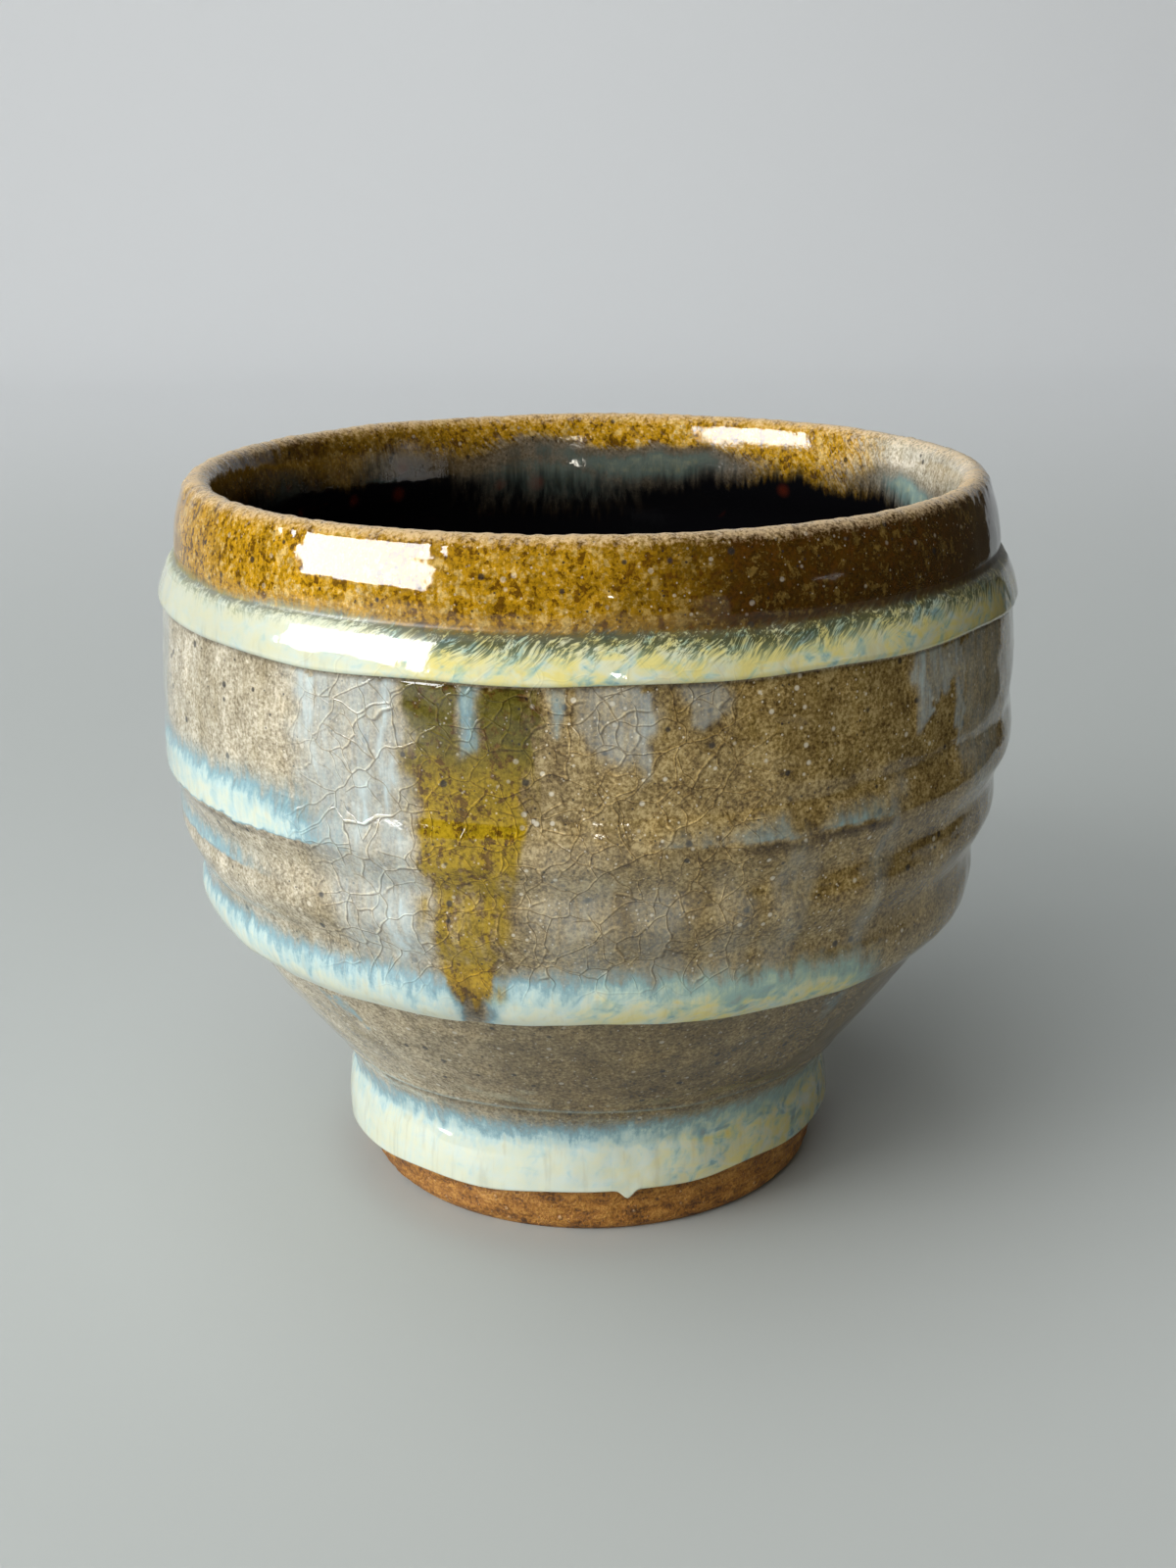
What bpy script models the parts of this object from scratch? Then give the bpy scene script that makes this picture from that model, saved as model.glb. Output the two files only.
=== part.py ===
"""Yunomi teacup: a thrown stoneware bowl on a luted foot, with the glaze coats that cover them.

Metres, +Z up. The origin is the centre of the foot on the table, and the front of the cup faces -Y.
Each piece is an outline in the plane of radius and height, turned about Z. Outlines are lists of
(radius, height) points. The clay comes first, and every coat of glaze follows the clay under it.
"""

import math
from dataclasses import dataclass

import bpy
from mathutils import Vector

# Clay foot
FOOT_RADIUS = 0.0254  # outside, at the table
FOOT_RING_WIDTH = 0.0054  # at the table, from the outside to the recess under the cup
FOOT_EDGE = 0.0006  # bevel at the table, outside and inside
FOOT_SWELL = 0.0007  # how far the foot's side bows out
WAIST_RADIUS = 0.0257  # narrowest place above the swell
WAIST_HEIGHT = 0.0108
WAIST_WALL = 0.0057  # clay between the waist and the top of the recess
FLARE_HOLLOW = 0.0007  # how far the flare from waist to crease bows in
RECESS_DEPTH = 0.0085  # from the table up to the bowl's underside

# Clay bowl, outside, from the crease above the foot up to the lip
CREASE_RADIUS = 0.0292
CREASE_HEIGHT = 0.0172
SEAT_HOLLOW = 0.0009  # how far the underside bows in where it sits on the foot, as the flare does
BELLY_RADIUS = 0.0396
BELLY_RISE = 0.0146
BELLY_BOW = 0.0003
SHOULDER_RADIUS = 0.0447
WALL_RISE = 0.0332
WALL_BOW = 0.0020
RIDGE_COUNT = 3  # throwing ridges round the wall
RIDGE_HEIGHT = 0.0009
RIDGE_PITCH = 0.0078
FIRST_RIDGE_RISE = 0.0028  # lowest crest above the belly's edge
NECK_RADIUS = 0.0431
SHOULDER_RISE = 0.0048
RIM_RISE = 0.0078
RIM_BOW = 0.0003
LIP_RADIUS = 0.0411  # middle of the lip
LIP_THICKNESS = 0.0017

# Clay bowl, inside
WALL_THICKNESS = 0.0042  # at the shoulder
BELLY_THICKNESS = 0.0046  # at the belly's edge
FLOOR_THICKNESS = 0.0055
FLOOR_RADIUS = 0.0120  # flat middle of the floor
INSIDE_BOW = 0.0014
CAVITY_BOW = 0.0042

# Glaze
GLAZE_GAP = 0.00025  # between a coat and what it lies on, and between coats
GLAZE_THICKNESS = 0.0006  # thin clear coat on the wall and under the belly
RIM_GLAZE_THICKNESS = 0.0005
RIM_GLAZE_DEPTH = 0.0072  # from the lip down the inside
LINER_THICKNESS = 0.0005
ROLL_EDGE_THICKNESS = 0.0003  # where a roll thins out
ROLL_PEAK = 0.3  # share of a roll's height at which it is thickest
SHOULDER_ROLL_THICKNESS = 0.0010
BELLY_ROLL_THICKNESS = 0.0014
BELLY_ROLL_WIDTH = 0.0046
FOOT_ROLL_THICKNESS = 0.0016
FOOT_GLAZE_LINE = 0.0050  # height where the bare foot begins

# Facets
SEGMENTS = 36  # round the axis
RIDGE_STEPS = 4  # along the wall, in one ridge pitch
SHORT_STEPS = 4
LONG_STEPS = 6
LIP_STEPS = 6
SAME_PLACE = 0.00001  # points nearer than this along a path count as one

# Colours, as linear red, green and blue, with the roughness
CLAY_COLOUR = ((0.30, 0.13, 0.05), 0.80)
BODY_COLOUR = ((0.26, 0.20, 0.13), 0.70)
LINER_COLOUR = ((0.010, 0.008, 0.010), 0.08)
AMBER_COLOUR = ((0.36, 0.17, 0.02), 0.15)
CREAM_COLOUR = ((0.72, 0.74, 0.52), 0.15)
CLEAR_COLOUR = ((0.30, 0.26, 0.19), 0.20)
PALE_BLUE_COLOUR = ((0.55, 0.70, 0.72), 0.15)


@dataclass
class Clay:
    """The bowl's faces as paths, from under the cup, up the outside, over the lip and down the inside."""

    underside: list
    outside: list
    lip: list
    inside: list
    crease: Vector
    belly: Vector
    shoulder: Vector
    neck: Vector
    floor_middle: Vector


def point(radius, height):
    """A point of an outline."""
    return Vector((radius, height))


def to_the_right(way):
    """The unit vector square to a way, on its right: out of the clay on the paths below."""
    return point(way.y, -way.x).normalized()


def bowed(start, end, bow, steps):
    """Points from start to end on a shallow curve that stands out by bow, to the right of the way."""
    way = end - start
    shares = [step / steps for step in range(steps + 1)]
    return [start + way * t + to_the_right(way) * (4 * bow * t * (1 - t)) for t in shares]


def joined(*paths):
    """One path from several that each begin where the last one ended."""
    points = list(paths[0])
    for path in paths[1:]:
        points.extend(path[1:])
    return points


def at_height(path, height):
    """The place where an upward path reaches a height."""
    for low, high in zip(path, path[1:]):
        if low.y <= height <= high.y:
            return low.lerp(high, (height - low.y) / (high.y - low.y))
    raise ValueError("the path doesn't reach this height")


def stretch(path, low, high):
    """The part of an upward path between two heights, with a new point at each end."""
    between = [p for p in path if low + SAME_PLACE < p.y < high - SAME_PLACE]
    return [at_height(path, low), *between, at_height(path, high)]


def lifted(path, distances):
    """A path moved to its right by a distance at each point, with square corners kept true."""
    sides = [to_the_right(end - start) for start, end in zip(path, path[1:])]
    before = [sides[0], *sides]
    after = [*sides, sides[-1]]
    moved = []
    for place, first, second, distance in zip(path, before, after, distances):
        middle = (first + second).normalized()
        moved.append(place + middle * (distance / middle.dot(first)))
    return moved


def coat(path, thicknesses):
    """The outline of a glaze coat along a path on the clay, with its thickness at each point."""
    under = lifted(path, [GLAZE_GAP] * len(path))
    over = lifted(path, [GLAZE_GAP + thickness for thickness in thicknesses])
    return over[::-1] + under


def even_coat(path, thickness):
    """The outline of a coat of one thickness."""
    return coat(path, [thickness] * len(path))


def roll(path, thickness):
    """The outline of a thick roll along an upward path: thin at both edges, fattest low down."""
    skew = math.log(0.5) / math.log(ROLL_PEAK)
    bottom = path[0].y
    height = path[-1].y - bottom
    swells = [math.sin(math.pi * ((p.y - bottom) / height) ** skew) for p in path]
    return coat(path, [ROLL_EDGE_THICKNESS + (thickness - ROLL_EDGE_THICKNESS) * s for s in swells])


def ridge(rise):
    """How far the throwing ridges stand out of the wall, at a rise above the belly's edge."""
    turns = (rise - FIRST_RIDGE_RISE) / RIDGE_PITCH
    if not -0.5 < turns < RIDGE_COUNT - 0.5:
        return 0.0
    return RIDGE_HEIGHT * math.cos(math.pi * turns) ** 2


def ridged_wall(belly, shoulder):
    """The outside of the wall, from the belly's edge up to the shoulder."""
    steps = math.ceil(WALL_RISE / RIDGE_PITCH * RIDGE_STEPS)
    plain = bowed(belly, shoulder, WALL_BOW, steps)
    return [point(p.x + ridge(p.y - belly.y), p.y) for p in plain]


def lip_arc(centre):
    """The half circle over the lip, from the outside to the inside."""
    angles = [math.pi * step / LIP_STEPS for step in range(LIP_STEPS + 1)]
    around = [point(math.cos(a), math.sin(a)) for a in angles]
    return [centre + unit * (LIP_THICKNESS / 2) for unit in around]


def principled(name, colour, roughness):
    """A plain material of one colour."""
    material = bpy.data.materials.new(name)
    material.use_nodes = True
    shader = material.node_tree.nodes["Principled BSDF"]
    shader.inputs["Base Color"].default_value = (*colour, 1.0)
    shader.inputs["Roughness"].default_value = roughness
    return material


def turned(name, outline, finish, parent, on_axis=False):
    """An object made by turning an outline about Z. One whose ends lie on the axis isn't closed there."""
    count = len(outline)
    edges = [(i, (i + 1) % count) for i in range(count - 1 if on_axis else count)]
    mesh = bpy.data.meshes.new(name)
    mesh.from_pydata([(p.x, 0.0, p.y) for p in outline], edges, [])
    mesh.materials.append(principled(name, *finish))
    piece = bpy.data.objects.new(name, mesh)
    piece.parent = parent
    bpy.context.scene.collection.objects.link(piece)
    screw = piece.modifiers.new("Turn", "SCREW")
    screw.axis = "Z"
    screw.angle = math.tau
    screw.steps = SEGMENTS
    screw.render_steps = SEGMENTS
    screw.use_merge_vertices = True
    screw.merge_threshold = SAME_PLACE
    screw.use_smooth_shade = True
    return piece


def shape_clay():
    """Works out the bowl's faces from the driving dimensions."""
    recess_edge = point(WAIST_RADIUS - WAIST_WALL, RECESS_DEPTH)
    crease = point(CREASE_RADIUS, CREASE_HEIGHT)
    belly = point(BELLY_RADIUS, crease.y + BELLY_RISE)
    shoulder = point(SHOULDER_RADIUS, belly.y + WALL_RISE)
    neck = point(NECK_RADIUS, shoulder.y + SHOULDER_RISE)
    lip = lip_arc(point(LIP_RADIUS, neck.y + RIM_RISE - LIP_THICKNESS / 2))
    outside = joined(
        bowed(crease, belly, BELLY_BOW, SHORT_STEPS),
        ridged_wall(belly, shoulder),
        bowed(shoulder, neck, RIM_BOW, SHORT_STEPS),
        bowed(neck, lip[0], RIM_BOW, SHORT_STEPS),
    )
    inside_shoulder = point(SHOULDER_RADIUS - WALL_THICKNESS, shoulder.y)
    inside_belly = point(BELLY_RADIUS - BELLY_THICKNESS, belly.y)
    floor_edge = point(FLOOR_RADIUS, RECESS_DEPTH + FLOOR_THICKNESS)
    inside = joined(
        bowed(lip[-1], inside_shoulder, 0.0, SHORT_STEPS),
        bowed(inside_shoulder, inside_belly, -INSIDE_BOW, LONG_STEPS),
        bowed(inside_belly, floor_edge, -CAVITY_BOW, LONG_STEPS),
    )
    return Clay(
        underside=bowed(recess_edge, crease, -SEAT_HOLLOW, SHORT_STEPS),
        outside=outside,
        lip=lip,
        inside=inside,
        crease=crease,
        belly=belly,
        shoulder=shoulder,
        neck=neck,
        floor_middle=point(0.0, floor_edge.y),
    )


def build_bowl(clay, cup):
    """The clay bowl, from the middle of its floor, over the lip, to the middle of its underside."""
    faces = joined(clay.underside, clay.outside, clay.lip, clay.inside)
    outline = [point(0.0, RECESS_DEPTH), *faces, clay.floor_middle]
    turned("bowl", outline[::-1], BODY_COLOUR, cup, on_axis=True)


def build_foot(clay, cup):
    """The clay foot, whose top follows the bowl's underside, and the glaze roll on its side."""
    top = lifted(clay.underside, [GLAZE_GAP] * len(clay.underside))
    waist = point(WAIST_RADIUS, WAIST_HEIGHT)
    table_edge = point(FOOT_RADIUS, FOOT_EDGE)
    side = joined(
        [point(FOOT_RADIUS - FOOT_EDGE, 0.0), table_edge],
        bowed(table_edge, waist, FOOT_SWELL, LONG_STEPS),
        bowed(waist, top[-1], -FLARE_HOLLOW, SHORT_STEPS),
    )
    recess_radius = FOOT_RADIUS - FOOT_RING_WIDTH
    recess = [point(recess_radius + FOOT_EDGE, 0.0), point(recess_radius, FOOT_EDGE)]
    turned("foot_ring", top[:-1] + side[::-1] + recess, CLAY_COLOUR, cup)
    glazed = stretch(side, FOOT_GLAZE_LINE, top[-1].y - GLAZE_GAP)
    turned("foot_roll", roll(glazed, FOOT_ROLL_THICKNESS), PALE_BLUE_COLOUR, cup)


def glaze_outside(clay, cup):
    """The coats from the crease up to the neck: two thin ones, each under a thick roll."""
    under = stretch(clay.outside, clay.crease.y + GLAZE_GAP, clay.belly.y - GLAZE_GAP)
    turned("underbelly_glaze", even_coat(under, GLAZE_THICKNESS), CLEAR_COLOUR, cup)
    roll_top = clay.belly.y + BELLY_ROLL_WIDTH
    belly = stretch(clay.outside, clay.belly.y + GLAZE_GAP, roll_top)
    turned("belly_roll", roll(belly, BELLY_ROLL_THICKNESS), PALE_BLUE_COLOUR, cup)
    wall = stretch(clay.outside, roll_top + GLAZE_GAP, clay.shoulder.y - GLAZE_GAP)
    turned("wall_glaze", even_coat(wall, GLAZE_THICKNESS), CLEAR_COLOUR, cup)
    shoulder = stretch(clay.outside, clay.shoulder.y, clay.neck.y)
    turned("shoulder_roll", roll(shoulder, SHOULDER_ROLL_THICKNESS), CREAM_COLOUR, cup)


def glaze_lip_and_inside(clay, cup):
    """The rim's coat, which saddles the lip, and the liner below it."""
    upward_inside = clay.inside[::-1]
    lip_base = clay.lip[0].y
    rim_bottom = clay.neck.y + RIM_RISE - RIM_GLAZE_DEPTH
    rim = joined(
        stretch(clay.outside, clay.neck.y + GLAZE_GAP, lip_base),
        clay.lip,
        stretch(upward_inside, rim_bottom, lip_base)[::-1],
    )
    turned("rim_glaze", even_coat(rim, RIM_GLAZE_THICKNESS), AMBER_COLOUR, cup)
    lined = stretch(upward_inside, clay.floor_middle.y, rim_bottom - GLAZE_GAP)
    liner = [*lined[::-1], clay.floor_middle]
    turned("liner_glaze", even_coat(liner, LINER_THICKNESS), LINER_COLOUR, cup, on_axis=True)


def main():
    """Clears the scene and builds the cup."""
    for old in list(bpy.data.objects):
        bpy.data.objects.remove(old)
    cup = bpy.data.objects.new("cup", None)
    bpy.context.scene.collection.objects.link(cup)
    clay = shape_clay()
    build_bowl(clay, cup)
    build_foot(clay, cup)
    glaze_outside(clay, cup)
    glaze_lip_and_inside(clay, cup)


main()
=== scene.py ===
"""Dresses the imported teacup: turned stoneware under running glazes, on a pale studio sweep.

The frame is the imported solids' own: metres, +Z up, the front of the cup facing -Y. Shapes are worked out in
millimetres and become metres when a mesh is made. An angle is in degrees round the cup, 0 at the front and
growing to the right. The clay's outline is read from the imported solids. Over it lies one field of glaze
thickness and colour masks, and each coat of glaze is a closed shell cut from that field along glaze lines.
"""

import logging
import math
from collections import defaultdict
from collections.abc import Sequence
from dataclasses import dataclass, field
from enum import Enum
from typing import Any

import bpy
import numpy as np
from mathutils import Matrix, Vector


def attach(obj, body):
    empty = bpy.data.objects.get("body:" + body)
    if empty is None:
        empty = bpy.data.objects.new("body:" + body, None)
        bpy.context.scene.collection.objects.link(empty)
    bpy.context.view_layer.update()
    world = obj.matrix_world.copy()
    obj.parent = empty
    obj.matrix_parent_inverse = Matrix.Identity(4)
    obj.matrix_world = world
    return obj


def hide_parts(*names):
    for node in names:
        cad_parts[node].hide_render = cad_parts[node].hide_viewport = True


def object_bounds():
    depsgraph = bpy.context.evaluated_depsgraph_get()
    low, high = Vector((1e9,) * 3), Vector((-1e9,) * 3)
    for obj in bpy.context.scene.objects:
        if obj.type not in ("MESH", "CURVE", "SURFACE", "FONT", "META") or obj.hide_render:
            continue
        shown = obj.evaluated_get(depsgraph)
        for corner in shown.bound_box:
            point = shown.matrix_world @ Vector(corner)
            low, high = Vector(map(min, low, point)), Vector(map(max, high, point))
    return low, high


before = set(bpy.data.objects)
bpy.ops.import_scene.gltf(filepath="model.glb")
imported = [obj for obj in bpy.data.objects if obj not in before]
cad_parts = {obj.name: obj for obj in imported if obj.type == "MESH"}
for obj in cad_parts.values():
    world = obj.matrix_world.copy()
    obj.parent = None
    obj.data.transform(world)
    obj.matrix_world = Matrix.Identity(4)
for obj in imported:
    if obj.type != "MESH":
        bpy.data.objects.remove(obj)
CAD_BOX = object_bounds()

LOG = logging.getLogger("teacup")
MM = 0.001

Colour = tuple[float, float, float, float]
Stops = tuple[tuple[float, Colour], ...]
Points = list[tuple[float, float]]
Layers = tuple[tuple[float, float, float, int], ...]


class Edge(Enum):
    """The glaze lines round the cup, from the foot up over the lip to the middle of the floor."""

    FOOT = "foot"
    CREASE = "crease"
    BELLY = "belly"
    ROLL_TOP = "roll_top"
    SHOULDER = "shoulder"
    AMBER = "amber"
    LINER = "liner"
    FLOOR = "floor"


class Mask(Enum):
    """The values that the coats carry from point to point, for the shader to read."""

    MIST = "mist"
    MILK = "milk"
    AMBER = "amber"
    WARM = "warm"
    BLACK = "black"
    # painted shade: shadow lines under thick glaze and darkening away from the light; also a few dark glaze
    # marks
    SHADE = "shade"
    CRAZE = "craze"
    # how brown the clay and how dark the amber look: partly their own tone, partly painted shade away from
    # the light
    TONE = "tone"


def rgb(red: int, green: int, blue: int) -> Colour:
    """Turns a screen colour into a linear one.

    Args:
        red: Red from 0 to 255.
        green: Green from 0 to 255.
        blue: Blue from 0 to 255.

    Returns:
        The linear colour with full alpha.
    """
    shares = [value / 255.0 for value in (red, green, blue)]
    linear = [s / 12.92 if s <= 0.04045 else ((s + 0.055) / 1.055) ** 2.4 for s in shares]
    return (linear[0], linear[1], linear[2], 1.0)


def ease(value: np.ndarray, low: float, high: float) -> np.ndarray:
    """Rises smoothly from 0 at low to 1 at high."""
    share = np.clip((value - low) / (high - low), 0.0, 1.0)
    return share * share * (3.0 - 2.0 * share)


def plateau(value: np.ndarray, start: float, full: float, fading: float, end: float) -> np.ndarray:
    """Rises smoothly from 0 at start to 1 at full, and falls from fading to 0 at end."""
    return ease(value, start, full) * (1.0 - ease(value, fading, end))


def hump(distance: np.ndarray, width: float) -> np.ndarray:
    """Gives 1 at no distance and falls off to both sides over about a width."""
    return np.exp(-((distance / width) ** 2))


def apart(angle: np.ndarray, other: np.ndarray | float) -> np.ndarray:
    """Gives the signed angle from other to angle, the short way round."""
    return (angle - other + 180.0) % 360.0 - 180.0


def ripple(angle: np.ndarray, seed: int, waves: range = range(3, 17)) -> np.ndarray:
    """Makes an unevenness round the cup that closes on itself.

    Args:
        angle: Angles to read it at.
        seed: Which unevenness.
        waves: The wave counts round the cup that it is made of.

    Returns:
        Values with a spread of about 1.
    """
    chance = np.random.default_rng(seed)
    total = np.zeros_like(angle)
    power = 0.0
    for wave in waves:
        size = wave ** -0.6
        total += size * np.cos(np.radians(angle) * wave + chance.uniform(0.0, math.tau))
        power += size * size / 2.0
    return total / math.sqrt(power)


def patches(angle: np.ndarray, height: np.ndarray, width: float, rise: float, seed: int) -> np.ndarray:
    """Makes a patchy unevenness over the wall that closes round the cup.

    Args:
        angle: Angles of the points.
        height: Heights of the points.
        width: Size of a patch round the cup, in degrees.
        rise: Size of a patch up the wall, in millimetres.
        seed: Which unevenness.

    Returns:
        Values with a spread of about 1.
    """
    chance = np.random.default_rng(seed)
    total = np.zeros(np.broadcast(angle, height).shape)
    count = 28
    for _ in range(count):
        wave = round(chance.normal(0.0, 180.0 / width))
        climb = chance.normal(0.0, math.pi / rise)
        total += np.cos(np.radians(angle) * wave + height * climb + chance.uniform(0.0, math.tau))
    return total / math.sqrt(count / 2.0)


def layered(angle: np.ndarray, height: np.ndarray, layers: Layers) -> np.ndarray:
    """Adds up patchy layers, each given by its depth and its patches' width, rise and seed."""
    return sum(depth * patches(angle, height, *patch) for depth, *patch in layers)


def packed_outline(node: str) -> Points:
    """Reads a turned solid's outline from its corners on the half plane through +X.

    Args:
        node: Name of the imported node.

    Returns:
        The outline's radii and heights in millimetres, in order along it.
    """
    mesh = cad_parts[node].data
    beside = defaultdict(set)
    for polygon in mesh.polygons:
        corners = [mesh.vertices[index].co for index in polygon.vertices]
        for one, two in zip(corners, corners[1:] + corners[:1]):
            if min(one.x, two.x) > 1e-5 and max(abs(one.y), abs(two.y)) < 1e-6:
                first = (round(one.x / MM, 3), round(one.z / MM, 3))
                second = (round(two.x / MM, 3), round(two.z / MM, 3))
                if first != second:
                    beside[first].add(second)
                    beside[second].add(first)
    ends = sorted((place for place in beside if len(beside[place]) == 1), key=lambda place: place[1])
    start = ends[0] if ends else min(beside, key=lambda place: (place[1], -place[0]))
    line = [start]
    while True:
        onward = [place for place in beside[line[-1]] if place not in line]
        if not onward:
            return line
        line.append(max(onward))


@dataclass
class Outline:
    """A smooth line in the plane of radius and height, in millimetres, read by the distance along it."""

    points: Points
    step: float = 0.1
    along: np.ndarray = field(init=False)
    radius: np.ndarray = field(init=False)
    height: np.ndarray = field(init=False)

    def __post_init__(self) -> None:
        """Draws the line through the points."""
        corners = np.array(self.points)
        gaps = np.hypot(*np.diff(corners, axis=0).T)
        knots = np.concatenate([[0.0], np.cumsum(gaps)])
        slopes = np.gradient(corners, knots, axis=0)
        self.along = np.linspace(0.0, knots[-1], int(knots[-1] / self.step))
        span = np.clip(np.searchsorted(knots, self.along, side="right") - 1, 0, len(gaps) - 1)
        share = ((self.along - knots[span]) / gaps[span])[:, None]
        gap = gaps[span][:, None]
        line = (
            (1 + 2 * share) * (1 - share) ** 2 * corners[span]
            + share * (1 - share) ** 2 * gap * slopes[span]
            + share**2 * (3 - 2 * share) * corners[span + 1]
            + share**2 * (share - 1) * gap * slopes[span + 1]
        )
        self.radius, self.height = np.maximum(line[:, 0], 0.0), line[:, 1]

    def at(self, along: np.ndarray) -> tuple[np.ndarray, np.ndarray]:
        """Gives the radius and height at each distance along the line."""
        return np.interp(along, self.along, self.radius), np.interp(along, self.along, self.height)

    def outward(self, along: np.ndarray, reach: float = 0.5) -> tuple[np.ndarray, np.ndarray]:
        """Gives the direction away from the clay, to the right of the line.

        Args:
            along: Distances along the line.
            reach: Distance over which the direction is evened out.

        Returns:
            The direction's parts along radius and height.
        """
        before, after = self.at(along - reach), self.at(along + reach)
        run, rise = after[0] - before[0], after[1] - before[1]
        length = np.maximum(np.hypot(run, rise), 1e-9)
        return rise / length, -run / length


def turned_rows(radius: np.ndarray, height: np.ndarray, angle: np.ndarray) -> np.ndarray:
    """Places rows of points round the axis.

    Args:
        radius: Radius of each row, or of each point, in millimetres.
        height: Height of each row, or of each point.
        angle: Angles of the columns.

    Returns:
        The points in metres, by row and column.
    """
    turn = np.radians(angle)[None, :]
    parts = np.broadcast_arrays(radius * np.sin(turn), -radius * np.cos(turn), height)
    return np.stack(parts, axis=-1) * MM


def linked_mesh(name: str, points: Sequence[Any], faces: Sequence[Any]) -> bpy.types.Object:
    """Makes a mesh that is shaded smooth and links it to the scene.

    Args:
        name: Name of the piece.
        points: Its corners in metres.
        faces: The corners' numbers, face by face.

    Returns:
        The piece.
    """
    mesh = bpy.data.meshes.new(name)
    mesh.from_pydata(points, [], faces)
    mesh.shade_smooth()
    piece = bpy.data.objects.new(name, mesh)
    bpy.context.scene.collection.objects.link(piece)
    return piece


def closed_mesh(name: str, rows: np.ndarray, poles: Sequence[float] = ()) -> bpy.types.Object:
    """Makes a closed mesh of rows that run round the axis.

    Args:
        name: Name of the piece.
        rows: Points by row and column, with the outside on the right of the rows' order.
        poles: Heights on the axis where the first and last row close. If there are none, the rows join up.

    Returns:
        The piece, linked to the scene.
    """
    place = np.arange(rows.shape[0] * rows.shape[1]).reshape(rows.shape[:2])
    onward = np.roll(place, -1, axis=1)
    ends = (onward[0], place[0]), (place[-1], onward[-1])
    quads = np.stack([place, onward, np.roll(onward, -1, axis=0), np.roll(place, -1, axis=0)], axis=-1)
    faces = (quads[:-1] if len(poles) else quads).reshape(-1, 4).tolist()
    points = rows.reshape(-1, 3).tolist()
    for height, (first, second) in zip(poles, ends):
        faces += [[len(points), one, two] for one, two in zip(first.tolist(), second.tolist())]
        points.append((0.0, 0.0, height))
    return linked_mesh(name, points, faces)


@dataclass
class Clay:
    """The two clay pieces: the thrown bowl and the turned foot under it."""

    bowl_columns: int = 192
    bowl_step: float = 0.9
    foot_columns: int = 480
    foot_step: float = 0.4
    foot_edge_round: float = 0.12
    foot_grit: Layers = ((0.05, 4.0, 1.0, 41), (0.06, 14.0, 2.5, 42))
    grit_most: float = 0.1
    grit_start: tuple[float, float] = (0.15, 1.0)
    tool_mark: float = 0.035
    tool_pitch: float = 0.85
    tool_start: tuple[float, float] = (0.3, 1.2)
    tilt_level: float = 0.5
    tilt_right: float = 0.8
    tilt_back: float = 0.9
    tilt_span: tuple[float, float, float, float] = (32.5, 39.0, 54.0, 64.0)
    bowl: Outline = field(init=False)
    foot: Outline = field(init=False)
    face: Outline = field(init=False)
    lip: float = field(init=False)

    def __post_init__(self) -> None:
        """Reads the outlines and strings the glazed face together, from the table to the floor inside."""
        bowl, foot = packed_outline("bowl"), packed_outline("foot_ring")
        crease = max(range(len(foot)), key=lambda index: foot[index][0])
        rising = [place for place in bowl if place[0] > foot[crease][0]]
        start = bowl.index(rising[0])
        floor = [(bowl[-1][0] * share, bowl[-1][1]) for share in (0.75, 0.5, 0.25, 0.0)]
        self.face = Outline(foot[:crease] + bowl[start - 1:] + floor)
        self.bowl = Outline([(0.0, bowl[0][1])] + bowl + floor)
        self.foot = Outline(foot + foot[:1])
        self.lip = float(self.face.along[np.argmax(self.face.height)])

    def along_outside(self, height: np.ndarray) -> np.ndarray:
        """Gives the distance along the face at a height on the outside."""
        outside = self.face.along <= self.lip
        return np.interp(height, self.face.height[outside], self.face.along[outside])

    def along_inside(self, height: np.ndarray) -> np.ndarray:
        """Gives the distance along the face at a height on the inside."""
        inside = self.face.along >= self.lip
        return np.interp(height, self.face.height[inside][::-1], self.face.along[inside][::-1])

    def tilt(self, angle: np.ndarray, height: np.ndarray) -> np.ndarray:
        """Gives how far the throwing ridges ride up or down at an angle.

        Args:
            angle: Angles round the cup.
            height: Heights of the level ridges.

        Returns:
            The rise in millimetres, nothing below the belly's edge and at the shoulder.
        """
        turn = np.radians(angle)
        rise = self.tilt_level + self.tilt_right * np.sin(turn) - self.tilt_back * np.cos(turn)
        return rise * plateau(height, *self.tilt_span)

    def build_bowl(self) -> bpy.types.Object:
        """Builds the bowl's clay, which shows only in the recess under the cup.

        Returns:
            The piece.
        """
        along = np.linspace(0.0, self.bowl.along[-1], int(self.bowl.along[-1] / self.bowl_step))
        radius, height = self.bowl.at(along[:, None])
        angle = np.arange(self.bowl_columns) * 360.0 / self.bowl_columns
        lift = np.where(along[:, None] < self.lip, self.tilt(angle, height), 0.0)
        rows = turned_rows(radius, height + lift, angle)[1:-1]
        return closed_mesh("thrown_bowl", rows, (rows[0, :, 2].mean(), rows[-1, :, 2].mean()))

    def build_foot(self) -> bpy.types.Object:
        """Builds the foot's clay, with the turning tool's fine marks on its bare side.

        Returns:
            The piece.
        """
        count = int(self.foot.along[-1] / self.foot_step)
        along = np.linspace(0.0, self.foot.along[-1], count, endpoint=False)[:, None]
        radius, height = self.foot.at(along)
        across, up = self.foot.outward(along, self.foot_edge_round)
        angle = np.arange(self.foot_columns) * 360.0 / self.foot_columns
        marks = self.tool_mark * np.sin(height * math.tau / self.tool_pitch) * ease(height, *self.tool_start)
        rough = layered(angle[None, :], along, self.foot_grit)
        push = np.minimum(marks + rough, self.grit_most) * ease(height, *self.grit_start)
        rows = turned_rows(radius + across * push, np.maximum(height + up * push, 0.0), angle)
        return closed_mesh("turned_foot", rows)


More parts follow.
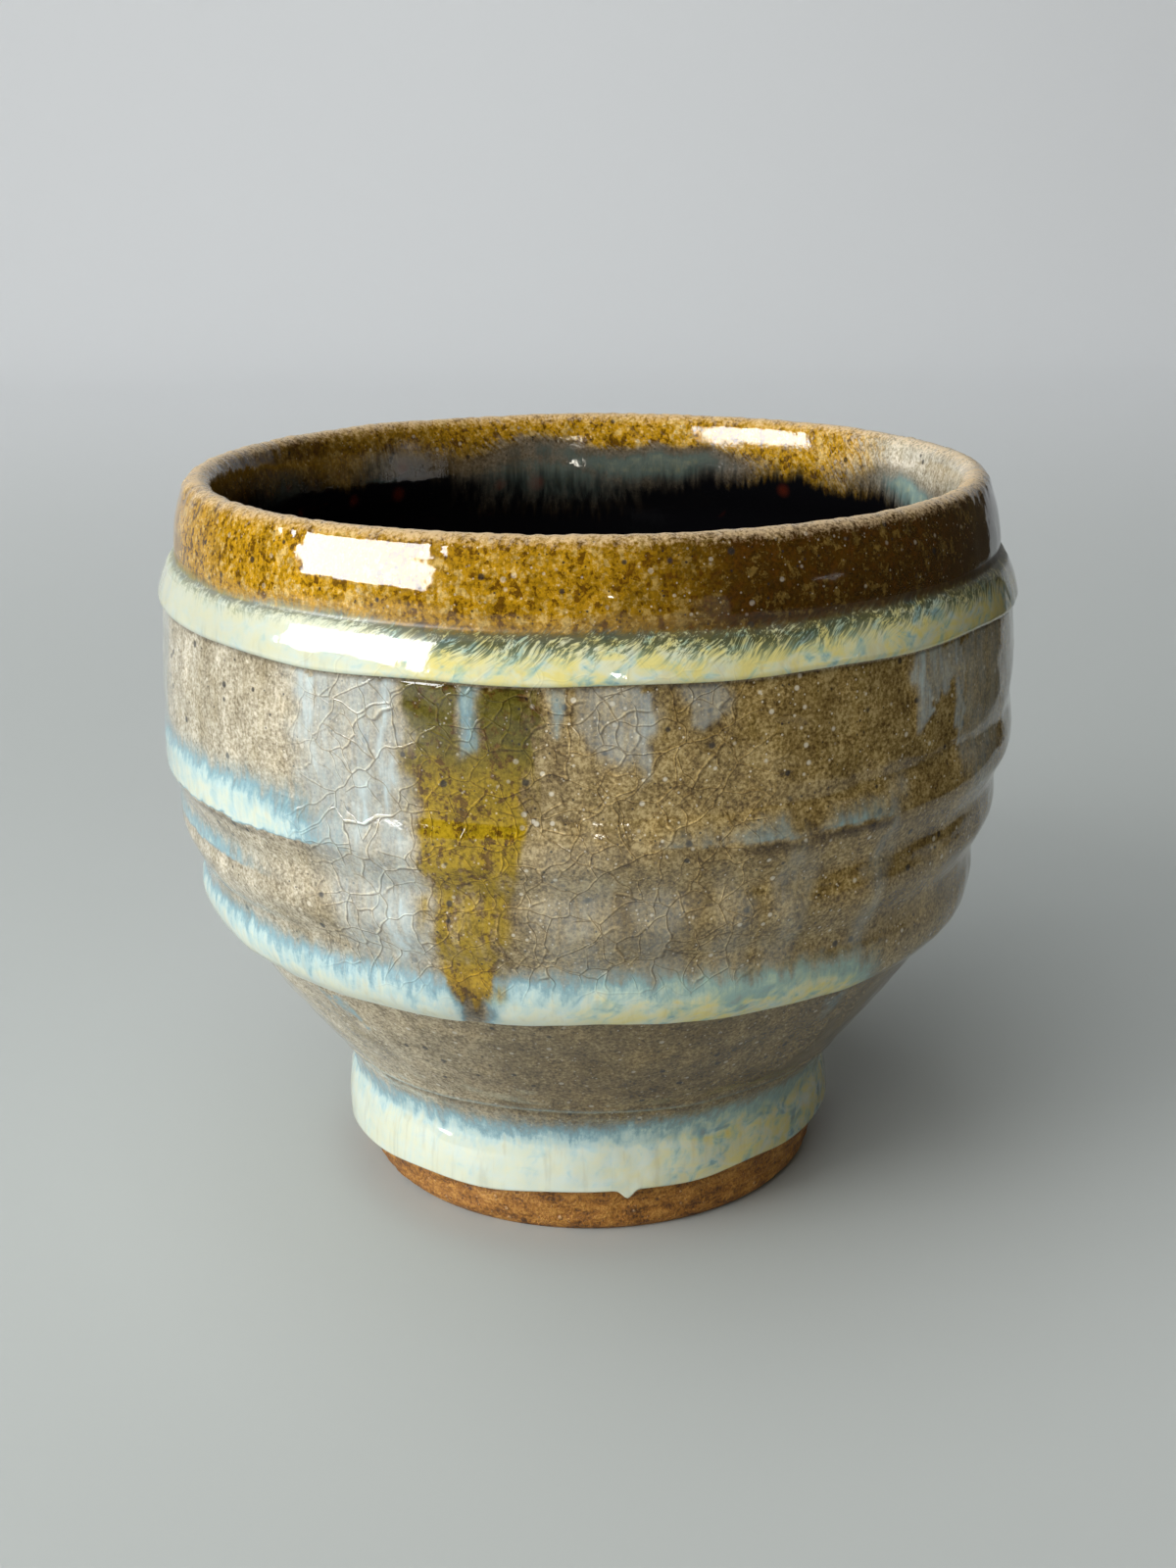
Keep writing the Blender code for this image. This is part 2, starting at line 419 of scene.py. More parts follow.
@dataclass(frozen=True)
class Line:
    """A glaze line round the cup: its height and how it strays from level, in millimetres.

    The rows of points are counted from it up to the next line. A drip has an angle, a width and a drop.
    """

    height: float
    rows: int
    seed: int
    uneven: float = 0.0
    right: float = 0.0
    back: float = 0.0
    drips: tuple[tuple[float, float, float], ...] = ()

    def level(self, angle: np.ndarray) -> np.ndarray:
        """Gives the line's height without its drips.

        Args:
            angle: Angles to read it at.

        Returns:
            The height at each angle.
        """
        turn = np.radians(angle)
        level = self.height + self.right * np.sin(turn) - self.back * np.cos(turn)
        return level + self.uneven * ripple(angle, self.seed)

    def at(self, angle: np.ndarray) -> np.ndarray:
        """Gives the line's height, lower where glaze has dripped.

        Args:
            angle: Angles to read it at.

        Returns:
            The height at each angle.
        """
        level = self.level(angle)
        for where, width, drop in self.drips:
            level = level - drop * hump(apart(angle, where), width)
        return level


@dataclass(frozen=True)
class Run:
    """A run of glaze down the wall, in degrees across and millimetres up.

    A course gives heights from the bottom up, each with the share of the run's strength and the warmth there.
    """

    angle: float
    width: float
    top: float
    bottom: float
    strength: float
    drift: float
    taper: float
    fade: float
    lead: float = 0.2
    soft: float = 0.4
    warm: float = 0.3
    course: tuple[tuple[float, float, float], ...] = ()

    def mask(self, angle: np.ndarray, height: np.ndarray) -> np.ndarray:
        """Gives how much of the run lies at each point.

        Args:
            angle: Angles of the points.
            height: Heights of the points.

        Returns:
            The run's strength there, from 0 up to its own.
        """
        share = np.clip((self.top - height) / (self.top - self.bottom), 0.0, 1.0)
        middle = self.angle + self.drift * share
        half = self.width / 2.0 * (1.0 - (1.0 - self.taper) * share)
        side = np.abs(apart(angle, middle)) / half
        tip = height - self.bottom - self.fade * 0.8 * np.minimum(side, 1.0) ** 2
        inside = (1.0 - ease(side, 1.0 - self.soft, 1.14)) * ease(tip, 0.0, self.fade)
        inside = inside * ease(self.top - height, 0.0, self.lead)
        if self.course:
            levels, shares, _ = zip(*self.course)
            inside = inside * np.interp(height, levels, shares)
        return self.strength * inside

    def warmth(self, height: np.ndarray) -> np.ndarray | float:
        """Gives how warm the run is.

        Args:
            height: Heights to read it at.

        Returns:
            The warmth at each height, or one for all where the run has no course.
        """
        if not self.course:
            return self.warm
        levels, _, warmths = zip(*self.course)
        return np.interp(height, levels, warmths)


@dataclass(frozen=True)
class Pool:
    """Glaze that has gathered on a ridge, with a sharp lower edge, a soft upper one and a painted shadow line
    under it.
    """

    start: float
    end: float
    low: float
    rise: float
    strength: float
    warm: float
    # how dark the painted shadow line below the lower edge is
    line: float
    soft: float

    def mask(self, angle: np.ndarray, height: np.ndarray) -> np.ndarray:
        """Gives how much of the pool lies at each point.

        Args:
            angle: Angles of the points.
            height: Heights of the points.

        Returns:
            The pool's strength there, from 0 up to its own.
        """
        above = height - self.low
        body = np.clip(1.0 - (np.maximum(above, 0.0) / self.rise) ** 1.3, 0.0, 1.0) * ease(above, -0.05, 0.3)
        return self.strength * body * self.spread(angle)

    def spread(self, angle: np.ndarray) -> np.ndarray:
        """Gives how full the pool is at each angle, less towards its two ends."""
        middle, half = (self.start + self.end) / 2.0, (self.end - self.start) / 2.0
        return 1.0 - ease(np.abs(apart(angle, middle)), half - self.soft, half + self.soft)

    def painted_shadow_line(self, angle: np.ndarray, height: np.ndarray) -> np.ndarray:
        """Gives the painted shadow line just below the pool's lower edge."""
        return self.line * plateau(self.low - height, -0.1, 0.15, 0.3, 1.0) * self.spread(angle)


FOOT_DRIPS = ((7.9, 1.5, 0.9), (-96.0, 1.8, 0.8), (141.0, 1.8, 1.0))
AMBER_COURSE = (
    (34.0, 0.95, 0.62),
    (36.0, 0.85, 0.62),
    (38.5, 0.68, 0.50),
    (46.0, 0.66, 0.44),
    (50.0, 0.90, 0.48),
    (52.0, 1.00, 0.50),
    (55.5, 1.00, 0.46),
    (58.5, 0.96, 0.22),
    (61.5, 0.94, 0.06),
    (66.0, 0.90, 0.04),
)


@dataclass
class GlazeField:
    """The glaze over the clay: its thickness and its kinds, on one grid from the foot to the floor inside."""

    clay: Clay
    columns: int = 640
    under_gap: float = 0.05
    coat: float = 0.85
    thin_coat: float = 0.6
    rim_coat: float = 0.86
    rim_bow: float = 0.18
    lip_coat: float = 0.66
    liner_coat: float = 0.75
    throat_roll: float = 0.6
    throat_height: float = 70.0
    shoulder_roll: float = 1.28
    belly_roll: float = 1.6
    foot_roll: float = 1.75
    bead: float = 0.55
    mist_coat: float = 0.08
    milk_coat: float = 0.2
    amber_coat: float = 0.16
    amber_foot: float = -15.2
    plain_warmth: float = 0.3
    rim_warmth: float = 0.92
    stray: Layers = ((0.7, 4.0, 4.0, 61), (0.35, 1.6, 2.0, 62))
    stray_reach: float = 0.75
    sag: Layers = ((0.5, 2.0, 5.0, 63), (0.3, 0.9, 3.0, 64))
    sag_reach: float = 0.9
    swell: Layers = ((0.06, 22.0, 9.0, 51), (0.03, 7.0, 4.0, 52))
    lines: dict[Edge, Line] = field(
        default_factory=lambda: {
            Edge.FOOT: Line(4.9, 52, 11, 0.12, 0.8, -0.8, FOOT_DRIPS),
            Edge.CREASE: Line(17.0, 48, 12, 0.05),
            Edge.BELLY: Line(32.1, 34, 13, 0.2, -0.4),
            Edge.ROLL_TOP: Line(37.4, 110, 14, 0.1),
            Edge.SHOULDER: Line(65.6, 36, 15, 0.16, -0.1),
            Edge.AMBER: Line(69.9, 72, 16, 0.22, -0.1),
            Edge.LINER: Line(70.3, 120, 17),
        }
    )
    veils: tuple[Run, ...] = (
        Run(-29.6, 19.6, 66.0, 33.0, 0.56, 5.0, 0.84, 6.0, 0.2, 0.45),
        Run(-35.2, 5.0, 66.0, 47.0, 0.66, 1.5, 0.8, 7.0, 0.2, 0.9),
        Run(-28.0, 6.0, 60.0, 43.0, 0.74, 1.0, 0.8, 8.0, 7.0, 0.9),
        Run(-23.6, 5.0, 66.0, 46.0, 0.62, 1.0, 0.7, 8.0, 0.2, 0.9),
        Run(-24.0, 6.0, 49.0, 34.0, 0.74, 1.0, 1.0, 6.0, 7.0, 0.9),
        Run(3.2, 9.4, 66.0, 57.0, 0.46, 0.4, 0.85, 2.4),
        Run(5.6, 3.2, 66.0, 54.5, 0.42, 0.0, 0.8, 4.0),
        Run(13.4, 6.6, 66.0, 61.4, 0.40, 0.3, 0.75, 0.8),
        Run(-1.0, 17.0, 56.0, 33.0, 0.38, 0.0, 1.0, 3.0, 12.0, 0.9),
        Run(8.0, 12.0, 52.0, 33.0, 0.34, 0.0, 1.0, 3.0, 8.0, 0.9),
        Run(17.0, 8.0, 51.0, 33.0, 0.28, 0.0, 1.0, 3.0, 6.0, 0.9),
        Run(25.5, 7.0, 51.4, 33.0, 0.30, -1.5, 1.0, 3.0, 3.0, 0.8),
        Run(39.0, 5.0, 56.0, 33.0, 0.34, -2.0, 1.2, 4.0, 4.0, 0.8),
        Run(46.5, 10.4, 66.0, 60.4, 0.56, 0.0, 0.96, 1.0),
        Run(43.2, 3.4, 66.0, 58.2, 0.62, 0.8, 0.7, 0.8),
        Run(51.2, 3.2, 66.0, 55.4, 0.60, 0.6, 0.6, 0.9),
        Run(59.0, 16.0, 66.0, 44.0, 0.42, 0.0, 0.9, 8.0),
        Run(74.0, 14.0, 66.0, 40.0, 0.40, 0.0, 0.8, 4.0),
        Run(-75.0, 14.0, 66.0, 50.0, 0.46, 0.0, 0.8, 3.0),
        Run(-91.0, 12.0, 66.0, 44.0, 0.54, 1.0, 0.7, 3.0),
        Run(96.0, 5.0, 66.0, 52.0, 0.66, 0.0, 0.7, 0.9),
        Run(113.0, 16.0, 66.0, 37.0, 0.54, -2.0, 0.7, 3.0),
        Run(110.0, 5.0, 66.0, 46.0, 0.66, -2.0, 0.7, 4.0, 0.2, 0.8),
        Run(146.0, 7.0, 66.0, 49.5, 0.58, 1.0, 0.7, 1.4),
        Run(-127.0, 15.0, 66.0, 38.0, 0.56, 2.0, 0.7, 3.0),
        Run(-124.0, 4.0, 66.0, 45.0, 0.66, 2.0, 0.7, 4.0, 0.2, 0.8),
        Run(-160.0, 9.0, 66.0, 47.0, 0.60, 0.0, 0.7, 1.6),
    )
    milk_runs: tuple[Run, ...] = (
        Run(131.0, 3.6, 66.0, 56.5, 0.50, 0.3, 0.7, 0.8),
        Run(-111.0, 4.0, 66.0, 58.0, 0.50, 0.3, 0.7, 0.8),
        Run(-40.5, 2.6, 30.6, 27.0, 0.46, 1.5, 0.8, 0.5, warm=0.2),
        Run(-44.5, 3.2, 30.8, 25.8, 0.44, 6.0, 0.8, 0.5, warm=0.2),
        Run(39.5, 5.6, 30.8, 26.4, 0.32, -1.0, 0.8, 0.7, warm=0.2),
        Run(-104.0, 4.4, 30.8, 25.0, 0.46, 2.0, 0.8, 0.6, warm=0.2),
        Run(128.0, 4.0, 30.8, 24.4, 0.46, 0.0, 0.8, 0.6, warm=0.2),
    )
    amber_runs: tuple[Run, ...] = (
        Run(-12.8, 18.6, 66.0, 33.4, 1.0, -2.2, 0.42, 1.6, course=AMBER_COURSE),
        Run(3.0, 2.2, 70.6, 67.8, 0.6, 0.3, 0.6, 0.8, warm=0.8),
        Run(164.0, 16.0, 66.0, 36.0, 0.96, 1.6, 0.34, 1.6, soft=0.3, course=AMBER_COURSE),
        Run(83.5, 7.0, 66.0, 51.0, 0.78, 0.3, 0.7, 3.4, warm=0.35),
        Run(-143.0, 8.0, 66.0, 53.0, 0.80, 0.3, 0.7, 3.4, warm=0.4),
    )
    top_runs: tuple[Run, ...] = (
        Run(-13.4, 4.2, 66.0, 58.0, 0.50, 0.3, 0.9, 2.0, soft=0.8),
        Run(-3.6, 3.0, 66.0, 60.0, 0.42, 0.0, 0.7, 1.6, soft=0.8),
        Run(163.0, 3.2, 66.0, 59.0, 0.70, 0.3, 0.9, 0.9),
        Run(-143.6, 2.2, 66.0, 58.0, 0.66, 0.3, 0.9, 0.9),
    )
    pools: tuple[Pool, ...] = (
        Pool(-110.0, -33.0, 48.9, 7.2, 0.92, 0.10, 0.45, 13.0),
        Pool(-104.0, -46.0, 43.2, 4.2, 0.60, 0.1, 0.2, 12.0),
        Pool(17.5, 25.0, 50.2, 3.2, 0.46, 0.4, 0.75, 2.6),
        Pool(28.0, 37.5, 50.5, 3.0, 0.50, 0.45, 0.8, 2.6),
        Pool(6.0, 22.0, 50.4, 3.4, 0.24, 0.35, 0.2, 5.0),
        Pool(98.0, 142.0, 51.2, 5.4, 0.85, 0.2, 0.6, 9.0),
        Pool(-176.0, -122.0, 50.6, 5.8, 0.95, 0.15, 0.6, 9.0),
        Pool(112.0, 150.0, 45.2, 3.2, 0.55, 0.2, 0.4, 8.0),
    )
    crazed: tuple[tuple[float, float], ...] = ((-36.0, 22.0), (100.0, 168.0), (-152.0, -112.0))
    angle: np.ndarray = field(init=False)
    wide: np.ndarray = field(init=False)
    strayed: np.ndarray = field(init=False)
    sagged: np.ndarray = field(init=False)
    along: np.ndarray = field(init=False)
    height: np.ndarray = field(init=False)
    outside: np.ndarray = field(init=False)
    first_row: dict[Edge, int] = field(init=False)
    past: dict[Edge, np.ndarray] = field(init=False)
    masks: dict[Mask, np.ndarray] = field(init=False)
    thick: np.ndarray = field(init=False)

    def __post_init__(self) -> None:
        """Lays the grid and works out the masks and the thickness on it."""
        self.angle = np.arange(self.columns) * 360.0 / self.columns - 180.0
        self.lay_rows()
        self.wide = np.broadcast_to(self.angle, self.along.shape)
        self.strayed = self.wide + self.stray_reach * layered(self.wide, self.height, self.stray)
        self.sagged = self.height + self.sag_reach * layered(self.wide, self.height, self.sag)
        self.masks = {mask: np.zeros_like(self.along) for mask in Mask}
        self.masks[Mask.WARM] += self.plain_warmth
        self.paint_runs()
        self.paint_shoulder()
        self.paint_belly()
        self.paint_foot()
        self.paint_amber()
        self.paint_crazing()
        self.paint_tone()
        self.paint_inside()
        self.thick = self.thickness()

    def edge_along(self, edge: Edge) -> np.ndarray:
        """Gives the distance along the clay's face to a glaze line.

        Args:
            edge: Which line.

        Returns:
            The distance at each angle.
        """
        if edge is Edge.FLOOR:
            return np.full(self.columns, self.clay.face.along[-1])
        level = self.lines[edge].at(self.angle)
        if edge is Edge.LINER:
            return self.clay.along_inside(level)
        return self.clay.along_outside(level)

    def lay_rows(self) -> None:
        """Lays rows between the glaze lines, closer together just above the lines of the thick rolls."""
        edges = {edge: self.edge_along(edge) for edge in Edge}
        rows: list[np.ndarray] = []
        self.first_row = {}
        for edge, following in zip(list(Edge), list(Edge)[1:]):
            count = self.lines[edge].rows
            share = np.arange(count) / count
            if edge in (Edge.FOOT, Edge.BELLY, Edge.SHOULDER):
                share = 0.35 * share + 0.65 * share**2.2
            self.first_row[edge] = sum(len(block) for block in rows)
            rows.append(edges[edge] + (edges[following] - edges[edge]) * share[:, None])
        self.first_row[Edge.FLOOR] = sum(len(block) for block in rows)
        rows.append(edges[Edge.FLOOR][None, :])
        self.along = np.concatenate(rows)
        self.past = {edge: self.along - start for edge, start in edges.items()}
        self.outside = self.along < self.clay.lip
        level = self.clay.face.at(self.along)[1]
        self.height = level + np.where(self.outside, self.clay.tilt(self.angle, level), 0.0)

    def lay(self, part: np.ndarray, warm: np.ndarray | float) -> None:
        """Lays milky glaze over what is there; where it is the fuller one it brings its warmth.

        Args:
            part: How much of it lies at each point.
            warm: How yellow it is.
        """
        over = ease(part - self.masks[Mask.MILK], -0.06, 0.12) * (part > 0.01)
        self.masks[Mask.WARM] = self.masks[Mask.WARM] + (warm - self.masks[Mask.WARM]) * over
        self.gather(Mask.MILK, part)

    def gather(self, mask: Mask, part: np.ndarray) -> None:
        """Adds glaze to a mask, so that the fuller of the two nearly has its way."""
        self.masks[mask] = np.minimum((self.masks[mask] ** 3 + part**3) ** (1.0 / 3.0), 1.0)

    def darken(self, part: np.ndarray) -> None:
        """Adds to the shade mask: painted shadow lines and shade, and the amber run's own dark spot."""
        self.masks[Mask.SHADE] = np.maximum(self.masks[Mask.SHADE], part)

    def set_where(self, region: np.ndarray, values: dict[Mask, np.ndarray]) -> None:
        """Sets some of the masks in a region."""
        for mask, value in values.items():
            self.masks[mask] = np.where(region, value, self.masks[mask])

    def paint_runs(self) -> None:
        """Paints the veils, runs and pools on the wall."""
        for run in self.veils:
            self.gather(Mask.MIST, run.mask(self.strayed, self.sagged) * (self.past[Edge.SHOULDER] < 0))
        for run in self.milk_runs:
            self.lay(run.mask(self.strayed, self.sagged), run.warm)
        sag = self.sagged - self.height
        for pool in self.pools:
            level = self.height + 0.14 * sag
            soft = self.height + 0.3 * sag
            self.lay(pool.mask(self.strayed, np.where(self.height > pool.low + 0.6, soft, level)), pool.warm)
            # painted shadow line under each pool's lower edge
            self.darken(pool.painted_shadow_line(self.strayed, level))

    def paint_shoulder(self) -> None:
        """Paints the thick roll on the shoulder, mint on the left and yellow to the right, with painted shade
        under it and on its right.
        """
        shoulder = self.past[Edge.SHOULDER]
        on_roll = shoulder > 0
        yellow = 0.16 + 0.58 * plateau(self.wide, -32.0, -16.0, 120.0, 175.0)
        self.set_where(on_roll, {Mask.MILK: ease(shoulder, -0.02, 0.06), Mask.WARM: yellow})
        # painted shadow line under the roll's lower edge
        self.darken(0.6 * plateau(-shoulder, -0.05, 0.08, 0.12, 0.5))
        # darker at the roll's far left
        self.darken(0.2 * (1.0 - ease(self.wide, -52.0, -24.0)) * on_roll)
        # painted shade on the roll's right, away from the light
        self.darken(0.48 * plateau(self.wide, 38.0, 74.0, 95.0, 130.0) * on_roll)

    def paint_belly(self) -> None:
        """Paints the roll at the belly's edge, which breaks where the amber run meets it, with a painted
        shadow line under it.
        """
        belly = self.past[Edge.BELLY]
        fullness = 1.0 - 0.8 * plateau(self.wide, 36.0, 46.0, 88.0, 110.0)
        spread = 7.4 - 2.2 * plateau(self.wide, 5.0, 40.0, 90.0, 120.0)
        level = (belly + 0.45 * (self.sagged - self.height)) / spread
        gathered = np.clip(1.12 - np.maximum(level, 0.0) ** 1.15, 0.0, 1.0) * ease(belly, -0.02, 0.08)
        gathered = gathered * fullness * (1.0 - 0.85 * hump(apart(self.strayed, self.amber_foot), 2.3))
        self.lay(gathered, 0.08 + 0.72 * plateau(self.wide, -14.0, 24.0, 110.0, 150.0))
        # painted shadow line under the roll's lower edge
        self.darken(0.55 * plateau(-belly, -0.05, 0.1, 0.3, 0.9))

    def foot_level(self) -> np.ndarray:
        """Gives how far each point lies above the foot's glaze line, leaving out its drips."""
        return self.along - self.clay.along_outside(self.lines[Edge.FOOT].level(self.angle))

    def paint_foot(self) -> None:
        """Paints the foot's glaze: cream below, blue above, with a pale bead at the crease, a painted shadow
        line under it and painted shade on the right.
        """
        foot, crease = self.past[Edge.FOOT], self.past[Edge.CREASE]
        level = self.foot_level() + 0.5 * (self.sagged - self.height)
        dipped = np.interp(level, (0.0, 4.3, 6.0, 8.6, 10.2), (1.0, 0.93, 0.72, 0.48, 0.22))
        dipped = dipped * ease(foot, -0.02, 0.05) * (1.0 - 0.6 * ease(crease, -2.2, -0.6))
        right, ahead = (0.5 + 0.5 * np.sin(np.radians(self.wide + lead)) for lead in (0.0, 10.0))
        self.set_where(crease < 0, {Mask.MILK: dipped, Mask.WARM: 0.08 + 0.72 * ease(ahead, 0.5, 1.0)})
        self.lay(0.34 * hump(crease - 0.1, 0.4), 0.2)
        # painted shadow line under the bead at the crease
        self.darken(0.4 * hump(crease + 1.1, 0.6))
        # darker along the glaze's lower edge
        self.darken(0.3 * (1.0 - ease(foot, 0.1, 0.45)))
        # painted shade on the foot's right, away from the light
        self.darken(0.3 * ease(right, 0.55, 1.0) * (crease < 0))

    def paint_amber(self) -> None:
        """Paints the amber rim and the runs from it, with the drips that have run over them."""
        amber_edge = self.past[Edge.AMBER]
        start = -2.2 - 1.4 * plateau(self.wide, -34.0, -14.0, 120.0, 160.0)
        amber = np.clip((amber_edge - start) / (1.4 - start), 0.0, 1.0)
        below_roll = ease(-self.past[Edge.SHOULDER], -0.05, 0.15)
        warm = self.masks[Mask.WARM]
        for run in self.amber_runs:
            part = run.mask(self.strayed, self.sagged)
            if run.top <= self.lines[Edge.SHOULDER].height + 1.0:
                part = part * below_roll
            warm = warm + (run.warmth(self.sagged) - warm) * np.minimum(part * 2.0, 1.0)
            amber = np.maximum(amber, part)
        self.masks[Mask.WARM] = np.where(amber_edge > 0, self.rim_warmth, warm)
        for run in self.top_runs:
            part = run.mask(self.wide + 0.3 * (self.strayed - self.wide), self.sagged) * below_roll
            amber = amber * (1.0 - 0.72 * part / run.strength)
            self.lay(part, self.masks[Mask.WARM])
        spot = hump(apart(self.strayed, self.amber_foot), 2.6) * hump(self.sagged - 34.0, 1.8)
        self.darken(0.7 * spot)
        self.masks[Mask.AMBER] = amber

    def paint_crazing(self) -> None:
        """Sets where the glaze is crazed."""
        net = np.zeros_like(self.along)
        for start, end in self.crazed:
            middle, half = (start + end) / 2.0, (end - start) / 2.0
            net = np.maximum(net, 1.0 - ease(np.abs(apart(self.wide, middle)), half - 7.0, half + 6.0))
        net = net * ease(self.past[Edge.BELLY], 2.5, 6.0)
        net = net * (1.0 - 0.85 * ease(self.past[Edge.SHOULDER], -0.4, 0.2))
        self.masks[Mask.CRAZE] = net * (1.0 - 0.8 * ease(self.past[Edge.AMBER], 0.0, 2.0))

    def paint_tone(self) -> None:
        """Sets how brown the clay shows under the clear glaze and how dark the amber is, partly as painted
        shade.
        """
        turn = self.wide
        to_back = 1.0 - ease(turn, 130.0, 175.0)
        # pale on the lit left, brown away from the light: partly the clay's own tone, partly painted shade
        brown = 0.12 + 0.85 * ease(turn, -62.0, 12.0) - 0.4 * ease(turn, 120.0, 180.0)
        brown = brown + 0.45 * (1.0 - ease(turn, -180.0, -120.0))
        below = (1.0 - ease(self.past[Edge.BELLY], -1.0, 1.0)) * ease(self.past[Edge.CREASE], -6.0, 1.0)
        brown = brown + (0.15 - 0.15 * brown) * below
        deep = (0.3 * ease(turn, -40.0, -14.0) + 0.7 * ease(turn, -4.0, 20.0)) * to_back
        # painted shade on the underbelly, under the belly roll
        self.darken(0.40 * below * ease(turn, -46.0, -4.0) * to_back)
        self.gather(Mask.MIST, 0.1 * below * ease(turn, -46.0, 0.0) * to_back)
        self.masks[Mask.TONE] = np.where(self.past[Edge.AMBER] > -1.5, deep, brown)

    def paint_inside(self) -> None:
        """Sets the masks inside: amber below the lip, then a pale fur dimmed with painted shade, then the
        black liner.
        """
        turn = self.angle
        back, right = hump(apart(turn, 172.0), 24.0), hump(apart(turn, 108.0), 11.0)
        uneven = 0.4 * ripple(turn, 31) + 0.2 * ripple(turn, 32, range(14, 48))
        level = self.height + (uneven - 1.5 * hump(apart(turn, -95.0), 50.0))
        fur = np.clip(0.5 * back + 0.62 * right + 0.05 * ripple(turn, 33), 0.0, 0.7)
        drop = 0.4 + 3.4 * fur
        band = fur * (1.0 - ease(level, 72.4, 75.6)) * ease(level, 70.4 - drop, 73.4)
        bare = 0.75 * hump(apart(turn, 100.0), 20.0) * ease(level, 73.0, 75.5)
        sunk = hump(apart(turn, -173.0), 20.0) * plateau(level, 61.0, 70.0, 71.0, 73.5)
        inside = {
            Mask.MIST: np.zeros_like(level),
            Mask.MILK: np.maximum(0.62 * np.clip(2.4 * band, 0.0, 1.0), 0.56 * sunk),
            Mask.AMBER: (1.0 - bare) * (1.0 - np.clip(2.0 * band + sunk, 0.0, 0.85)),
            Mask.BLACK: (1.0 - ease(level, 69.6 - 0.8 * drop, 75.0)) * (1.0 - 0.5 * sunk),
            Mask.WARM: self.rim_warmth - 0.34 * np.clip(6.0 * band + sunk, 0.0, 1.0),
            # browner clay and darker amber on the left inside, away from the light: partly painted shade
            Mask.TONE: 0.85 * hump(apart(self.wide, -100.0), 60.0),
            # painted shade over the fur and the sunk patch, lighter on the right inside where the light falls
            Mask.SHADE: np.clip(8.0 * band + 4.0 * sunk, 0.0, 1.0) * (0.8 - 0.48 * right),
            Mask.CRAZE: np.zeros_like(level),
        }
        self.set_where(~self.outside, inside)

    def beaded(self, distance: np.ndarray) -> np.ndarray:
        """Rises from a glaze line like the edge of a bead."""
        share = np.clip(distance / self.bead, 0.0, 1.0)
        return np.sqrt(1.0 - (1.0 - share) ** 2)

    def thickness(self) -> np.ndarray:
        """Works out how far the glaze stands off the clay.

        Returns:
            The thickness at each point of the grid, in millimetres.
        """
        amber_edge, shoulder, belly = (self.past[edge] for edge in (Edge.AMBER, Edge.SHOULDER, Edge.BELLY))
        foot, crease = self.past[Edge.FOOT], self.past[Edge.CREASE]
        milk = self.milk_coat * self.masks[Mask.MILK]
        wall = self.thin_coat + (self.coat - self.thin_coat) * ease(-shoulder, 0.5, 7.0)
        wall = wall + self.mist_coat * self.masks[Mask.MIST] + milk
        wall = wall + self.amber_coat * self.masks[Mask.AMBER] * (shoulder < 0)
        rise = (self.shoulder_roll - self.thin_coat - self.milk_coat) * (1.0 - ease(shoulder, 3.4, 6.0))
        thick = wall + np.where(shoulder > 0, rise * self.beaded(shoulder), 0.0)
        bowed = self.rim_coat - self.rim_bow * np.clip((amber_edge - 3.2) / 4.1, 0.0, 1.0) ** 2
        thick = thick + (bowed - thick) * ease(amber_edge, -1.0, 1.6)
        pooled = (self.belly_roll - self.coat - self.milk_coat) * (1.0 - ease(belly, 1.4, 5.4))
        thick = thick + np.where(belly > 0, pooled * self.beaded(belly), 0.0)
        thick = np.where(belly < 0, self.coat + 0.12 * hump(crease - 0.1, 0.4) + milk, thick)
        thick = np.where(crease < 0, self.foot_thickness(foot, crease), thick)
        lip = np.abs(self.along - self.clay.lip)
        swell = layered(self.wide, self.along, self.swell)
        thick = thick + swell * ease(foot, 0.3, 2.0) * ease(lip, 2.0, 5.0)
        throat = self.liner_coat + self.throat_roll * hump(self.height - self.throat_height, 2.7)
        thick = np.where(self.outside, thick, throat)
        worn = 0.035 * ripple(self.angle, 54, range(6, 60)) + 0.025 * ripple(self.angle, 55, range(70, 190))
        thick = thick + (self.lip_coat - thick) * (1.0 - ease(lip, 0.0, 1.6))
        thick = thick + worn * (1.0 - ease(lip, 0.6, 2.4))
        return np.maximum(thick, self.under_gap + 0.02 * (foot > 0))

    def foot_thickness(self, foot: np.ndarray, crease: np.ndarray) -> np.ndarray:
        """Works out the foot's glaze, fattest low on the left.

        Args:
            foot: Distance above the foot's glaze line.
            crease: Distance past the crease.

        Returns:
            The thickness in millimetres.
        """
        lean = 1.0 - 0.16 * np.sin(np.radians(self.wide))
        body = 0.76 + 0.24 * (1.0 - ease(self.foot_level(), 0.5, 9.5))
        thick = self.foot_roll * lean * body * self.beaded(foot)
        thick = thick + (self.coat - thick) * ease(crease, -7.5, -0.4)
        return thick - 0.2 * hump(crease + 0.9, 0.5)

    def surface(self, thick: np.ndarray) -> np.ndarray:
        """Places the grid at a distance off the clay.

        Args:
            thick: The distance at each point, in millimetres.

        Returns:
            The points in metres, by row and column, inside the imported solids' box.
        """
        radius, _ = self.clay.face.at(self.along)
        across, up = self.clay.face.outward(self.along)
        low, high = CAD_BOX
        reach = min(high[0], high[1], -low[0], -low[1]) / MM
        radius = np.clip(radius + across * thick, 0.0, reach)
        height = np.minimum(self.height + up * thick, high[2] / MM)
        return turned_rows(radius, height, self.angle)


